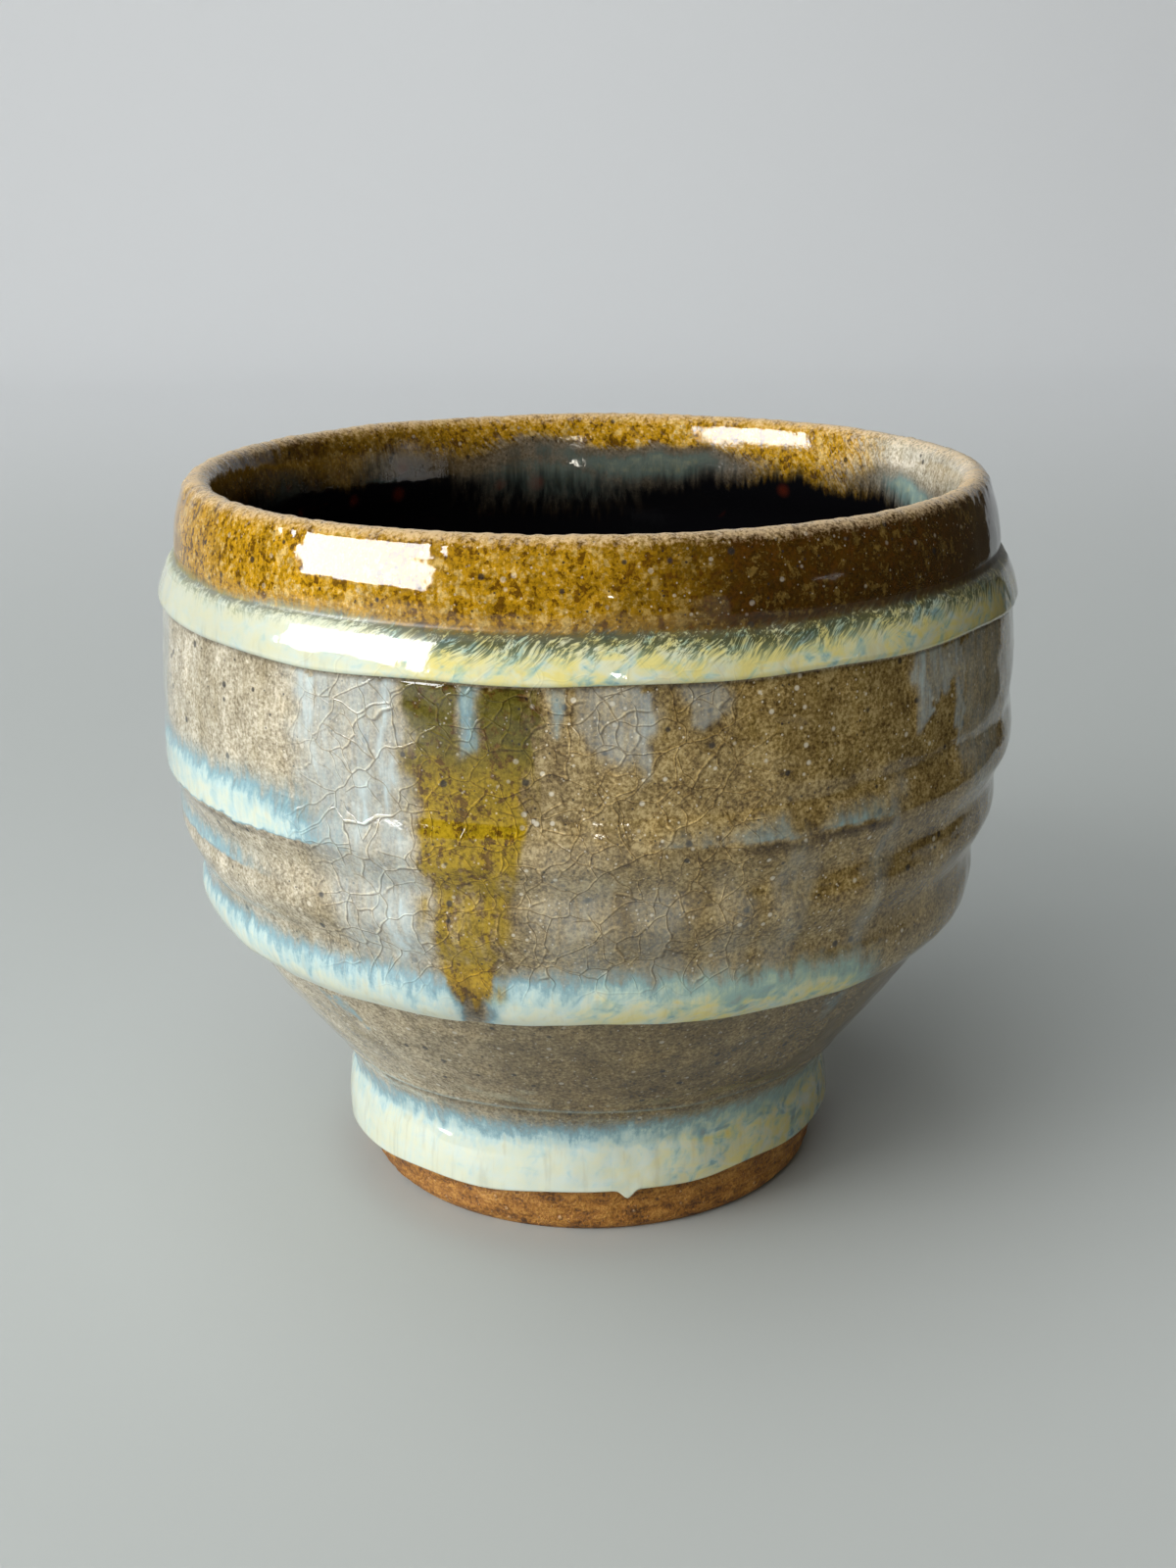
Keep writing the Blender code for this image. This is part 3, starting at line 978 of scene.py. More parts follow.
def surface_normals(points: np.ndarray) -> np.ndarray:
    """Works out a grid's directions, so that pieces cut from it shade as one.

    Args:
        points: Points by row and column, closing round the columns.

    Returns:
        Unit directions away from the clay.
    """
    up = np.gradient(points, axis=0)
    round_cup = np.roll(points, -1, axis=1) - np.roll(points, 1, axis=1)
    normal = np.cross(round_cup, up)
    length = np.linalg.norm(normal, axis=-1, keepdims=True)
    return normal / np.maximum(length, 1e-15)


@dataclass(frozen=True)
class Coat:
    """One coat of glaze: the piece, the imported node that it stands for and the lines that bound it."""

    name: str
    node: str
    start: Edge
    end: Edge


@dataclass
class Glazing:
    """All the coats of glaze, cut from one field so that they meet without a seam."""

    glaze: GlazeField
    under_every: int = 6
    coats: tuple[Coat, ...] = (
        Coat("foot_pool", "foot_roll", Edge.FOOT, Edge.CREASE),
        Coat("clear_underbelly", "underbelly_glaze", Edge.CREASE, Edge.BELLY),
        Coat("belly_pool", "belly_roll", Edge.BELLY, Edge.ROLL_TOP),
        Coat("clear_wall", "wall_glaze", Edge.ROLL_TOP, Edge.SHOULDER),
        Coat("cream_shoulder", "shoulder_roll", Edge.SHOULDER, Edge.AMBER),
        Coat("amber_rim", "rim_glaze", Edge.AMBER, Edge.LINER),
        Coat("black_lining", "liner_glaze", Edge.LINER, Edge.FLOOR),
    )

    def build(self) -> dict[str, bpy.types.Object]:
        """Builds every coat.

        Returns:
            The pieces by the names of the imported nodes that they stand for.
        """
        over = self.glaze.surface(self.glaze.thick)
        under = self.glaze.surface(np.full_like(self.glaze.thick, self.glaze.under_gap))
        normals = surface_normals(over)
        return {coat.node: self.shell(coat, over, under, normals) for coat in self.coats}

    def shell(self, coat: Coat, over: np.ndarray, under: np.ndarray, normals: np.ndarray) -> bpy.types.Object:
        """Builds one coat as a closed shell.

        Args:
            coat: Which coat.
            over: The glaze's outer face, as points by row and column.
            under: The glaze's face on the clay.
            normals: The outer face's directions.

        Returns:
            The piece, with its masks and with the whole glaze's shading.
        """
        rows = np.arange(self.glaze.first_row[coat.start], self.glaze.first_row[coat.end] + 1)
        back = np.unique(np.concatenate([rows[:: self.under_every], rows[-1:]]))[::-1]
        sides = [(over, normals, rows), (under, -normals, back)]
        poles: list[float] = []
        upright: list[list[float]] = []
        if coat.end is Edge.FLOOR:
            sides = [(under, -normals, back[1:]), (over, normals, rows[:-1])]
            poles = [under[-1, 0, 2], over[-1, 0, 2]]
            upright = [[0.0, 0.0, -1.0], [0.0, 0.0, 1.0]]
        piece = closed_mesh(coat.name, np.concatenate([face[order] for face, _, order in sides]), poles)
        facing = np.concatenate([towards[order] for _, towards, order in sides])
        piece.data.normals_split_custom_set_from_vertices(facing.reshape(-1, 3).tolist() + upright)
        for mask, values in self.glaze.masks.items():
            spread = np.concatenate([values[order] for *_, order in sides]).reshape(-1)
            spread = np.append(spread, np.full(len(poles), spread[-1]))
            layer = piece.data.attributes.new(mask.value, "FLOAT", "POINT")
            layer.data.foreach_set("value", spread.astype(np.float32))
        return piece


class Signal:
    """A value, place or colour in a shader tree, from which sums, steps and patterns make others."""

    def __init__(self, graph: "Graph", socket: bpy.types.NodeSocket) -> None:
        """Wraps a node's output in the tree of a graph."""
        self.graph = graph
        self.socket = socket

    def __add__(self, other: "Signal | float") -> "Signal":
        """Adds another value."""
        return self.graph.math("ADD", self, other)

    def __sub__(self, other: "Signal | float") -> "Signal":
        """Takes another value off this one."""
        return self.graph.math("SUBTRACT", self, other)

    def __rsub__(self, other: float) -> "Signal":
        """Takes this value off a number."""
        return self.graph.math("SUBTRACT", other, self)

    def __mul__(self, other: "Signal | float") -> "Signal":
        """Multiplies by another value."""
        return self.graph.math("MULTIPLY", self, other)

    def __truediv__(self, other: "Signal | float") -> "Signal":
        """Divides by another value."""
        return self.graph.math("DIVIDE", self, other)

    def most(self, other: "Signal | float") -> "Signal":
        """Gives the greater of two values."""
        return self.graph.math("MAXIMUM", self, other)

    def passes(self, limit: float) -> "Signal":
        """Gives 1 above a limit and 0 below it."""
        return self.graph.math("GREATER_THAN", self, limit)

    def held(self) -> "Signal":
        """Holds a sum or product between 0 and 1."""
        self.socket.node.use_clamp = True
        return self

    def step(self, low: "Signal | float", high: "Signal | float") -> "Signal":
        """Rises smoothly from 0 at low to 1 at high."""
        values = {"Value": self, "From Min": low, "From Max": high}
        return self.graph.read("Result", "ShaderNodeMapRange", values, interpolation_type="SMOOTHSTEP")

    def part(self, axis: str) -> "Signal":
        """Gives one part of a place, X, Y or Z."""
        return self.graph.read(axis, "ShaderNodeSeparateXYZ", {0: self})

    def times(self, factors: tuple[float, float, float]) -> "Signal":
        """Stretches a place by three factors."""
        return self.graph.vector("MULTIPLY", self, factors)

    def scaled(self, factor: float) -> "Signal":
        """Stretches a place evenly."""
        return self.graph.vector("MULTIPLY", self, (factor, factor, factor))

    def shifted(self, offset: "Signal | tuple[float, float, float]") -> "Signal":
        """Moves a place by an offset."""
        return self.graph.vector("ADD", self, offset)

    def turned(self, angle: "Signal | float") -> "Signal":
        """Turns a place about the third axis."""
        values = {"Vector": self, "Angle": angle}
        return self.graph.read(0, "ShaderNodeVectorRotate", values, rotation_type="Z_AXIS")

    def jostled(self, scale: float, detail: float, reach: float) -> "Signal":
        """Moves a place a little this way and that."""
        values = {"Vector": self, "Scale": scale, "Detail": detail}
        return self.shifted(self.graph.read("Color", "ShaderNodeTexNoise", values).scaled(reach))

    def noise(
        self, scale: "Signal | float", detail: float = 3.0, rough: float = 0.55, warp: float = 0.0
    ) -> "Signal":
        """Gives a cloudy value over a place, swirled where it is warped."""
        values = {"Vector": self, "Scale": scale, "Detail": detail, "Roughness": rough, "Distortion": warp}
        return self.graph.read("Fac", "ShaderNodeTexNoise", values)

    def cells(self, scale: float, channel: int) -> tuple["Signal", "Signal"]:
        """Scatters cells over a place.

        Args:
            scale: How many cells there are to a millimetre.
            channel: Which of three chances to give.

        Returns:
            A chance for each cell, and the distance from its middle.
        """
        node = self.graph.add("ShaderNodeTexVoronoi", {"Vector": self, "Scale": scale})
        colour, distance = (Signal(self.graph, node.outputs[name]) for name in ("Color", "Distance"))
        return self.graph.read(channel, "ShaderNodeSeparateColor", {0: colour}), distance


class Graph:
    """Adds shader nodes to a tree, linking signals and setting plain values."""

    def __init__(self, tree: bpy.types.NodeTree) -> None:
        """Starts from an emptied tree."""
        self.tree = tree
        tree.nodes.clear()

    def add(self, kind: str, values: dict[Any, Any] | None = None, **settings: Any) -> bpy.types.Node:
        """Adds a node.

        Args:
            kind: The node's type.
            values: What goes into its inputs, by name or number: signals are linked, the rest is set.
            settings: The node's own settings.

        Returns:
            The new node.
        """
        node = self.tree.nodes.new(kind)
        for name, value in settings.items():
            setattr(node, name, value)
        for name, value in (values or {}).items():
            if isinstance(value, Signal):
                self.tree.links.new(value.socket, node.inputs[name])
            else:
                node.inputs[name].default_value = value
        return node

    def read(
        self, output: str | int, kind: str, values: dict[Any, Any] | None = None, **settings: Any
    ) -> Signal:
        """Adds a node and gives one of its outputs."""
        return Signal(self, self.add(kind, values, **settings).outputs[output])

    def math(self, operation: str, *values: Signal | float) -> Signal:
        """Adds a sum, product or the like."""
        return self.read(0, "ShaderNodeMath", dict(enumerate(values)), operation=operation)

    def vector(self, operation: str, place: Signal, other: Any) -> Signal:
        """Adds a sum or product of places."""
        return self.read("Vector", "ShaderNodeVectorMath", {0: place, 1: other}, operation=operation)

    def blend(self, share: Any, low: Any, high: Any, kind: str = "MIX") -> Signal:
        """Adds a blend from one colour to another."""
        return self.read(2, "ShaderNodeMix", {0: share, 6: low, 7: high}, data_type="RGBA", blend_type=kind)

    def ramp(self, value: Signal, stops: Stops) -> Signal:
        """Adds a ramp of colours along a value.

        Args:
            value: The value.
            stops: The colours, each with its place on the ramp.

        Returns:
            The colour.
        """
        node = self.add("ShaderNodeValToRGB", {"Fac": value})
        while len(node.color_ramp.elements) < len(stops):
            node.color_ramp.elements.new(1.0)
        for element, (place, colour) in zip(node.color_ramp.elements, stops):
            element.position = place
            element.color = colour
        return Signal(self, node.outputs["Color"])

    def place(self) -> Signal:
        """Gives the place on the cup in millimetres."""
        return self.read("Object", "ShaderNodeTexCoord").scaled(1.0 / MM)

    def shade(self, colour: Signal | Colour, rough: Signal | float, **values: Any) -> None:
        """Adds the surface's shader and the material's output."""
        shader = {"Base Color": colour, "Roughness": rough, **values}
        self.add("ShaderNodeOutputMaterial", {0: self.read("BSDF", "ShaderNodeBsdfPrincipled", shader)})

    def bump(self, height: Signal, depth: float) -> Signal:
        """Adds fine relief of some depth in metres."""
        values = {"Strength": 1.0, "Distance": depth, "Height": height}
        return self.read("Normal", "ShaderNodeBump", values)


def new_material(name: str) -> tuple[bpy.types.Material, Graph]:
    """Makes an empty material.

    Args:
        name: Name of the material.

    Returns:
        The material, and the graph that fills it.
    """
    material = bpy.data.materials.new(name)
    material.use_nodes = True
    return material, Graph(material.node_tree)


class Effect:
    """A shader node group with named inputs and outputs, which more than one finish or layer uses."""

    def __init__(self, name: str, inputs: dict[str, float | None], outputs: list[str]) -> None:
        """Makes the group's sockets.

        Args:
            name: Name of the group.
            inputs: Its inputs with their plain values; a missing value makes a vector input.
            outputs: Its outputs, each one a value.
        """
        self.tree = bpy.data.node_groups.new(name, "ShaderNodeTree")
        self.graph = Graph(self.tree)
        for label, value in inputs.items():
            kind = "NodeSocketVector" if value is None else "NodeSocketFloat"
            socket = self.tree.interface.new_socket(name=label, in_out="INPUT", socket_type=kind)
            if value is not None:
                socket.default_value = value
        for label in outputs:
            self.tree.interface.new_socket(name=label, in_out="OUTPUT", socket_type="NodeSocketFloat")
        given = self.graph.add("NodeGroupInput").outputs
        self.given = {label: Signal(self.graph, given[label]) for label in inputs}
        self.wanted = self.graph.add("NodeGroupOutput").inputs

    def put(self, label: str, signal: Signal) -> None:
        """Links a value to one of the outputs."""
        self.tree.links.new(signal.socket, self.wanted[label])

    def use(self, graph: Graph, **values: Any) -> dict[str, Signal]:
        """Places the group in a material and gives its outputs by name."""
        node = graph.add("ShaderNodeGroup", values, node_tree=self.tree)
        return {socket.name: Signal(graph, socket) for socket in node.outputs}


def grain_effect() -> Effect:
    """Makes the stoneware's grain: a mottle, dark iron specks and pale grit.

    Returns:
        The group, with a place in millimetres and the shares of specks and grit going in.
    """
    effect = Effect("stone_grain", {"Place": None, "Specks": 0.5, "Grit": 0.5}, ["Mottle", "Dark", "Light"])
    place = effect.given["Place"]
    effect.put("Mottle", place.noise(0.5, 3.0, 0.7) * 0.38 + place.noise(2.8, 2.0, 0.65) * 0.62)
    kinds = (
        ("Dark", "Specks", 0, ((0.55, 0.26), (1.5, 0.24))),
        ("Light", "Grit", 1, ((0.75, 0.26), (1.8, 0.26))),
    )
    for label, amount, channel, sizes in kinds:
        spots = []
        for scale, size in sizes:
            chance, distance = place.cells(scale, channel)
            kept = chance.step(1.0 - effect.given[amount], 1.0)
            reach = kept * size
            spots.append(distance.step(reach, reach * 0.5) * kept.passes(0.02))
        effect.put(label, spots[0].most(spots[1]))
    return effect


def streak_effect() -> Effect:
    """Makes the fine hairs that a running glaze leaves, drawn out downwards.

    Returns:
        The group, with a place in millimetres, a slant in radians for each millimetre of height, a fineness
        and a length going in.
    """
    inputs = {"Place": None, "Slant": 0.0, "Fineness": 1.0, "Length": 8.0}
    effect = Effect("running_hairs", inputs, ["Hair"])
    place, slant, fineness, length = effect.given.values()
    turned = place.turned(place.part("Z") * slant)
    parts = {"X": turned.part("X"), "Y": turned.part("Y"), "Z": turned.part("Z") / length}
    drawn = effect.graph.read(0, "ShaderNodeCombineXYZ", parts)
    mixed = drawn.noise(fineness, 1.0, 0.5) * 0.6 + drawn.noise(fineness * 2.7, 1.0, 0.5) * 0.4
    effect.put("Hair", mixed.step(0.30, 0.70))
    return effect


def craze_effect() -> Effect:
    """Makes the net of fine ridges that a crazed glaze shows, and a shifted copy of it for their painted
    shadow.

    Returns:
        The group, with a place on the unrolled wall in millimetres going in.
    """
    effect = Effect("craze_net", {"Place": None}, ["Line", "Shaded"])
    place = effect.given["Place"]
    tipped = place.jostled(0.35, 1.0, 2.2).turned(-0.45)
    patchy = place.noise(0.25, 1.0).step(0.40, 0.56)
    settings = {"voronoi_dimensions": "2D", "feature": "DISTANCE_TO_EDGE"}
    # Shaded is the net moved down and to the right, used as the ridges' painted shadow
    for label, offset in (("Line", (0.0, 0.0, 0.0)), ("Shaded", (-0.07, 0.15, 0.0))):
        lines = []
        for stretch, cell in (((0.78, 1.0, 1.0), 3.4), ((1.0, 0.7, 1.0), 2.3)):
            values = {"Vector": tipped.shifted(offset).times(stretch), "Scale": 1.0 / cell}
            distance = effect.graph.read("Distance", "ShaderNodeTexVoronoi", values, **settings)
            lines.append(distance.step(0.10 / cell, 0.02 / cell))
        effect.put(label, lines[0].most(lines[1] * patchy))
    return effect


@dataclass(frozen=True)
class Effects:
    """The shared node groups."""

    grain: Effect
    hairs: Effect
    craze: Effect


@dataclass(frozen=True)
class GlazeLook:
    """The running glazes' colours, with the clay's that shows through, their gloss, relief and places.

    The places are spans in millimetres over which something starts or ends: up the cup, out from its axis or
    to its right.
    """

    name: str = "running_glaze"
    roughness: float = 0.06
    worn_roughness: float = 0.4
    relief: float = 0.0001
    wall_radius: float = 44.0
    rim_start: tuple[float, float] = (66.4, 68.0)
    rim_outer: tuple[float, float] = (41.4, 42.0)
    dull_start: tuple[float, float] = (69.0, 69.9)
    dull_end: tuple[float, float] = (71.6, 70.6)
    lip_start: tuple[float, float] = (77.2, 78.6)
    strand_height: float = 68.0
    strand_turn: tuple[float, float] = (-36.0, -12.0)
    gloom_turn: tuple[float, float] = (-28.0, -8.0)
    # the clay under clear glaze: pale on the lit side, brown away from the light, partly painted shade
    pale_lit_stone: Stops = ((0.37, rgb(141, 131, 110)), (0.50, rgb(190, 183, 164)), (0.63, rgb(225, 220, 206)))
    brown_shaded_stone: Stops = ((0.37, rgb(82, 62, 28)), (0.50, rgb(140, 116, 64)), (0.63, rgb(186, 163, 110)))
    stains: Stops = (
        (0.34, (0.70, 0.66, 0.56, 1.0)),
        (0.50, (0.98, 0.98, 0.97, 1.0)),
        (0.66, (1.22, 1.20, 1.16, 1.0)),
    )
    speck: Colour = rgb(40, 38, 40)
    grit: Colour = rgb(228, 220, 200)
    veil: Stops = ((0.20, rgb(160, 165, 161)), (0.55, rgb(177, 188, 190)), (0.90, rgb(196, 214, 218)))
    cool_milk: Stops = (
        (0.15, rgb(158, 164, 160)),
        (0.40, rgb(132, 160, 169)),
        (0.54, rgb(128, 168, 184)),
        (0.67, rgb(184, 210, 212)),
        (0.82, rgb(206, 219, 210)),
        (1.00, rgb(213, 220, 203)),
    )
    warm_milk: Stops = (
        (0.15, rgb(150, 150, 128)),
        (0.40, rgb(150, 162, 150)),
        (0.54, rgb(154, 182, 168)),
        (0.67, rgb(182, 197, 160)),
        (0.82, rgb(213, 210, 151)),
        (1.00, rgb(224, 213, 137)),
    )
    amber: Stops = ((0.0, rgb(76, 73, 24)), (0.5, rgb(158, 130, 12)), (1.0, rgb(196, 146, 22)))
    amber_mottle: Stops = (
        (0.40, (0.5, 0.5, 0.5, 1.0)),
        (0.50, (0.95, 0.95, 0.95, 1.0)),
        (0.60, (1.3, 1.3, 1.4, 1.0)),
    )
    amber_dark: Colour = rgb(78, 46, 4)
    amber_pale: Colour = rgb(218, 186, 112)
    # multiplied into the amber where the tone mask is high: its own darker colour on the right outside,
    # painted shade on the left inside
    deep_amber: Colour = rgb(90, 80, 34)
    deep_grain: Colour = rgb(112, 86, 24)
    fringe: Stops = ((0.12, rgb(124, 144, 118)), (0.50, rgb(50, 56, 34)), (0.85, rgb(60, 40, 10)))
    lip_clay: Colour = rgb(212, 186, 146)
    liner: Colour = rgb(8, 8, 10)
    liner_spot: Colour = rgb(92, 32, 14)
    # a painted glint along the craze ridges and a painted shadow beside them
    craze_glint: Colour = (1.5, 1.46, 1.36, 1.0)
    craze_shade: Colour = rgb(108, 88, 58)
    # multiplied in by the shade mask, mostly as painted shade
    shade_brown: Colour = rgb(84, 62, 36)


class RunningGlaze:
    """The finish of every coat: clear, milky, amber and black glaze that have run into each other."""

    def __init__(self, effects: Effects, look: GlazeLook = GlazeLook()) -> None:
        """Starts the material with what its layers share: place, masks, grain, hairs and slanting strands.

        Args:
            effects: The shared node groups.
            look: The colours, gloss and relief.
        """
        self.effects, self.look = effects, look
        self.made, self.graph = new_material(look.name)
        self.place = self.graph.place()
        self.side, self.height = self.place.part("X"), self.place.part("Z")
        self.masks = {
            mask: self.graph.read("Fac", "ShaderNodeAttribute", attribute_name=mask.value) for mask in Mask
        }
        self.grain = effects.grain.use(self.graph, Place=self.place, Specks=0.55, Grit=0.62)
        self.hair = self.hairs(Place=self.place, Fineness=0.8, Length=7.0) - 0.5
        fine = self.hairs(Place=self.place, Fineness=2.0, Length=5.0) - 0.5
        self.drawn = self.hair + fine * 0.5
        slant = self.side.step(*look.strand_turn) * -0.034 + 0.010
        waved = self.place.jostled(0.28, 1.0, 1.6).shifted((0.0, 0.0, -look.strand_height))
        self.strand = self.hairs(Place=waved, Slant=slant, Fineness=2.8, Length=14.0)
        self.streak = self.hairs(Place=waved, Slant=slant, Fineness=0.5, Length=4.0)

    def hairs(self, **values: Any) -> Signal:
        """Gives hairs of some fineness and length, from 0 to 1."""
        return self.effects.hairs.use(self.graph, **values)["Hair"]

    def material(self) -> bpy.types.Material:
        """Lays the layers over each other.

        Returns:
            The material, which reads the masks that the coats carry.
        """
        graph, look, masks = self.graph, self.look, self.masks
        milk, body = self.milk()
        amber, rim = self.amber()
        colour = graph.blend(body, self.mist(self.stoneware()), milk)
        colour = graph.blend(rim["fringe"], colour, graph.ramp(masks[Mask.AMBER], look.fringe))
        colour = graph.blend(rim["share"], colour, amber)
        colour = graph.blend(rim["strands"], colour, milk)
        net = self.effects.craze.use(graph, Place=self.unrolled())
        line = net["Line"] * masks[Mask.CRAZE]
        shaded = net["Shaded"] * masks[Mask.CRAZE]
        # painted shadow beside the craze ridges, then a painted glint along them
        colour = graph.blend(shaded * 0.55, colour, look.craze_shade, "MULTIPLY")
        colour = graph.blend(line * 0.8, colour, look.craze_glint, "MULTIPLY")
        # painted shade from the shade mask, with the amber's own dark spot
        colour = graph.blend(masks[Mask.SHADE], colour, look.shade_brown, "MULTIPLY")
        colour, dark = self.lining(colour)
        lip = ((self.grain["Mottle"] - 0.5) * 4.0 + self.height).step(*look.lip_start) * 0.8
        colour = graph.blend(lip, colour, look.lip_clay)
        dull = self.height.step(*look.dull_start) * self.height.step(*look.dull_end) * rim["outer"]
        rough = lip.most(dull) * look.worn_roughness + look.roughness
        relief = graph.bump(self.relief(body, line, dark), look.relief)
        graph.shade(colour, rough, Normal=relief, IOR=1.52)
        return self.made

    def unrolled(self) -> Signal:
        """Gives the place on the wall as if it were unrolled from a cylinder, seamed at the back."""
        turn = self.graph.math("ARCTAN2", self.side, self.place.part("Y") * -1.0)
        return self.graph.read(0, "ShaderNodeCombineXYZ", {0: turn * self.look.wall_radius, 1: self.height})

    def gritty(self, colour: Signal, pale: float) -> Signal:
        """Adds the clay's pale grit, by some share, and its dark specks."""
        colour = self.graph.blend(self.grain["Light"] * pale, colour, self.look.grit)
        return self.graph.blend(self.grain["Dark"] * 0.85, colour, self.look.speck)

    def stoneware(self) -> Signal:
        """Adds the speckled clay seen through clear glaze, pale on the lit side of the cup and brown
        opposite, partly painted shade.

        Returns:
            The clay's colour.
        """
        graph, look = self.graph, self.look
        stones = (look.pale_lit_stone, look.brown_shaded_stone)
        pale, brown = (graph.ramp(self.grain["Mottle"], stops) for stops in stones)
        colour = graph.blend(self.masks[Mask.TONE], pale, brown)
        cloudy = self.place.times((1.0, 1.0, 0.5)).noise(0.2, 4.0, 0.65)
        colour = graph.blend(1.0, colour, graph.ramp(cloudy, look.stains), "MULTIPLY")
        return self.gritty(colour, 0.7)

    def mist(self, under: Signal) -> Signal:
        """Adds the thin milky veils on the wall, greyer where they are thinnest.

        Args:
            under: The colour that shows through.

        Returns:
            The colour with the veils over it.
        """
        amount = self.masks[Mask.MIST]
        full = (amount + self.drawn * (amount * 0.5)).held()
        return self.graph.blend(full * 0.92, under, self.graph.ramp(full, self.look.veil))

    def milk(self) -> tuple[Signal, Signal]:
        """Adds the milky glaze, blue where it is thin and cream where it has pooled.

        Returns:
            The milk's colour and how far it hides the clay.
        """
        amount, warm = self.masks[Mask.MILK], self.masks[Mask.WARM]
        mottled = self.place.times((1.0, 1.0, 0.7)).noise(0.8, 4.0, 0.75) - 0.5
        feathered = mottled * 2.4 + self.drawn * 0.7
        full = (amount + feathered * (amount * (1.12 - amount) * 0.7)).held()
        thick = full.step(0.5, 0.95)
        swirl = self.place.times((1.0, 1.0, 1.7)).noise(0.2, 3.0, 0.55, 1.6) - 0.5
        turned = (warm + swirl * (warm * 3.4 + 0.3) * thick).held()
        marbled = 0.45 - self.place.times((1.0, 1.0, 1.6)).noise(0.32, 3.0, 0.6, 1.2)
        marbled = marbled + (0.4 - self.streak) * 0.3
        level = full + marbled * thick * (warm * 1.25 + 0.55)
        cool, warmer = (self.graph.ramp(level, stops) for stops in (self.look.cool_milk, self.look.warm_milk))
        return self.graph.blend(turned, cool, warmer), full.step(0.0, 0.66)

    def amber_grain(self, broad: Signal, on_rim: Signal) -> Signal:
        """Adds the amber glaze's colour, granular and dark in its hollows.

        Args:
            broad: A broad cloudiness about 0.
            on_rim: Where the rim is.

        Returns:
            The colour.
        """
        graph, look = self.graph, self.look
        chance, _ = self.place.jostled(1.2, 2.0, 0.9).cells(1.7, 0)
        tone = self.place.noise(1.5, 4.0, 0.7) + self.hair * 0.16 + broad * 0.5 + (chance - 0.5) * 0.22
        # darker amber where the tone mask is high, partly painted shade
        deep = self.masks[Mask.TONE] * on_rim
        colour = graph.blend(deep, graph.ramp(self.masks[Mask.WARM], look.amber), look.deep_amber, "MULTIPLY")
        colour = graph.blend(tone.step(0.49, 0.32) * 0.85, colour, look.amber_dark)
        golden = graph.blend(deep * 0.8, look.amber_pale, look.deep_grain)
        colour = graph.blend(tone.step(0.54, 0.70) * 0.8 * (on_rim - deep * 0.45), colour, golden)
        mottle = graph.ramp(self.grain["Mottle"], look.amber_mottle)
        return graph.blend(0.75, self.gritty(colour, 0.32), mottle, "MULTIPLY")

    def amber(self) -> tuple[Signal, dict[str, Signal]]:
        """Adds the amber glaze, with pale strands over its dark lower edge.

        Returns:
            The amber's colour, with its share and those of its dark fringe, pale strands and outer rim.
        """
        look, amount = self.look, self.masks[Mask.AMBER]
        broad = self.place.noise(0.4, 2.0) - 0.5
        on_rim = self.height.step(*look.rim_start)
        on_wall = (amount + self.hair * 0.4).step(0.0, 0.86) * 0.97
        full = amount + (0.5 - self.strand) * 0.2
        share = on_rim * full.step(0.62, 0.98) + (1.0 - on_rim) * on_wall
        flat = self.place.times((1.0, 1.0, 0.0))
        from_axis = self.graph.read("Value", "ShaderNodeVectorMath", {0: flat}, operation="LENGTH")
        outer = on_rim * from_axis.step(*look.rim_outer)
        gloom = self.side.step(*look.gloom_turn) * 0.26 + 0.66
        reach = self.strand * 0.8 + broad * 0.6 + 0.08
        combed = reach.step(amount - 0.12, amount + 0.5)
        edge = amount.step(0.02, 0.12) * amount.step(0.95, 0.7)
        shares = {
            "share": share,
            "fringe": full.step(0.06, 0.46) * outer * gloom,
            "strands": combed * edge * outer * 0.88,
            "outer": outer,
        }
        return self.amber_grain(broad, on_rim), shares

    def lining(self, under: Signal) -> tuple[Signal, Signal]:
        """Adds the black liner with its rusty spots.

        Args:
            under: The colour that the liner covers.

        Returns:
            The colour with the liner over it, and the liner's share.
        """
        chance, distance = self.place.cells(0.3, 2)
        reach = chance.step(0.62, 1.0) * 0.5 - 0.06
        rust = distance.step(reach, reach * 0.2) * reach.passes(0.02)
        colour = self.graph.blend(rust * 0.6, self.look.liner, self.look.liner_spot)
        amount = self.masks[Mask.BLACK]
        swing = self.hair * (amount * (1.0 - amount) * 1.3)
        share = (amount + swing).held().step(0.05, 0.85)
        return self.graph.blend(share, under, colour), share

    def relief(self, body: Signal, line: Signal, dark: Signal) -> Signal:
        """Adds the fine relief: grainy through thin glaze, smooth where it has pooled, raised at the crazing.

        Args:
            body: How far the milk hides the clay.
            line: The craze net.
            dark: The share of black liner.

        Returns:
            The height for the bump.
        """
        thin = 1.0 - (body * 0.85).most(dark)
        rough = self.grain["Mottle"] * 0.22 * thin
        ripples = self.place.noise(0.4, 2.0, 0.5) * 0.5
        grains = self.place.noise(1.1, 1.0, 0.5) * (thin * 0.05)
        return rough + ripples + grains + line * 0.1


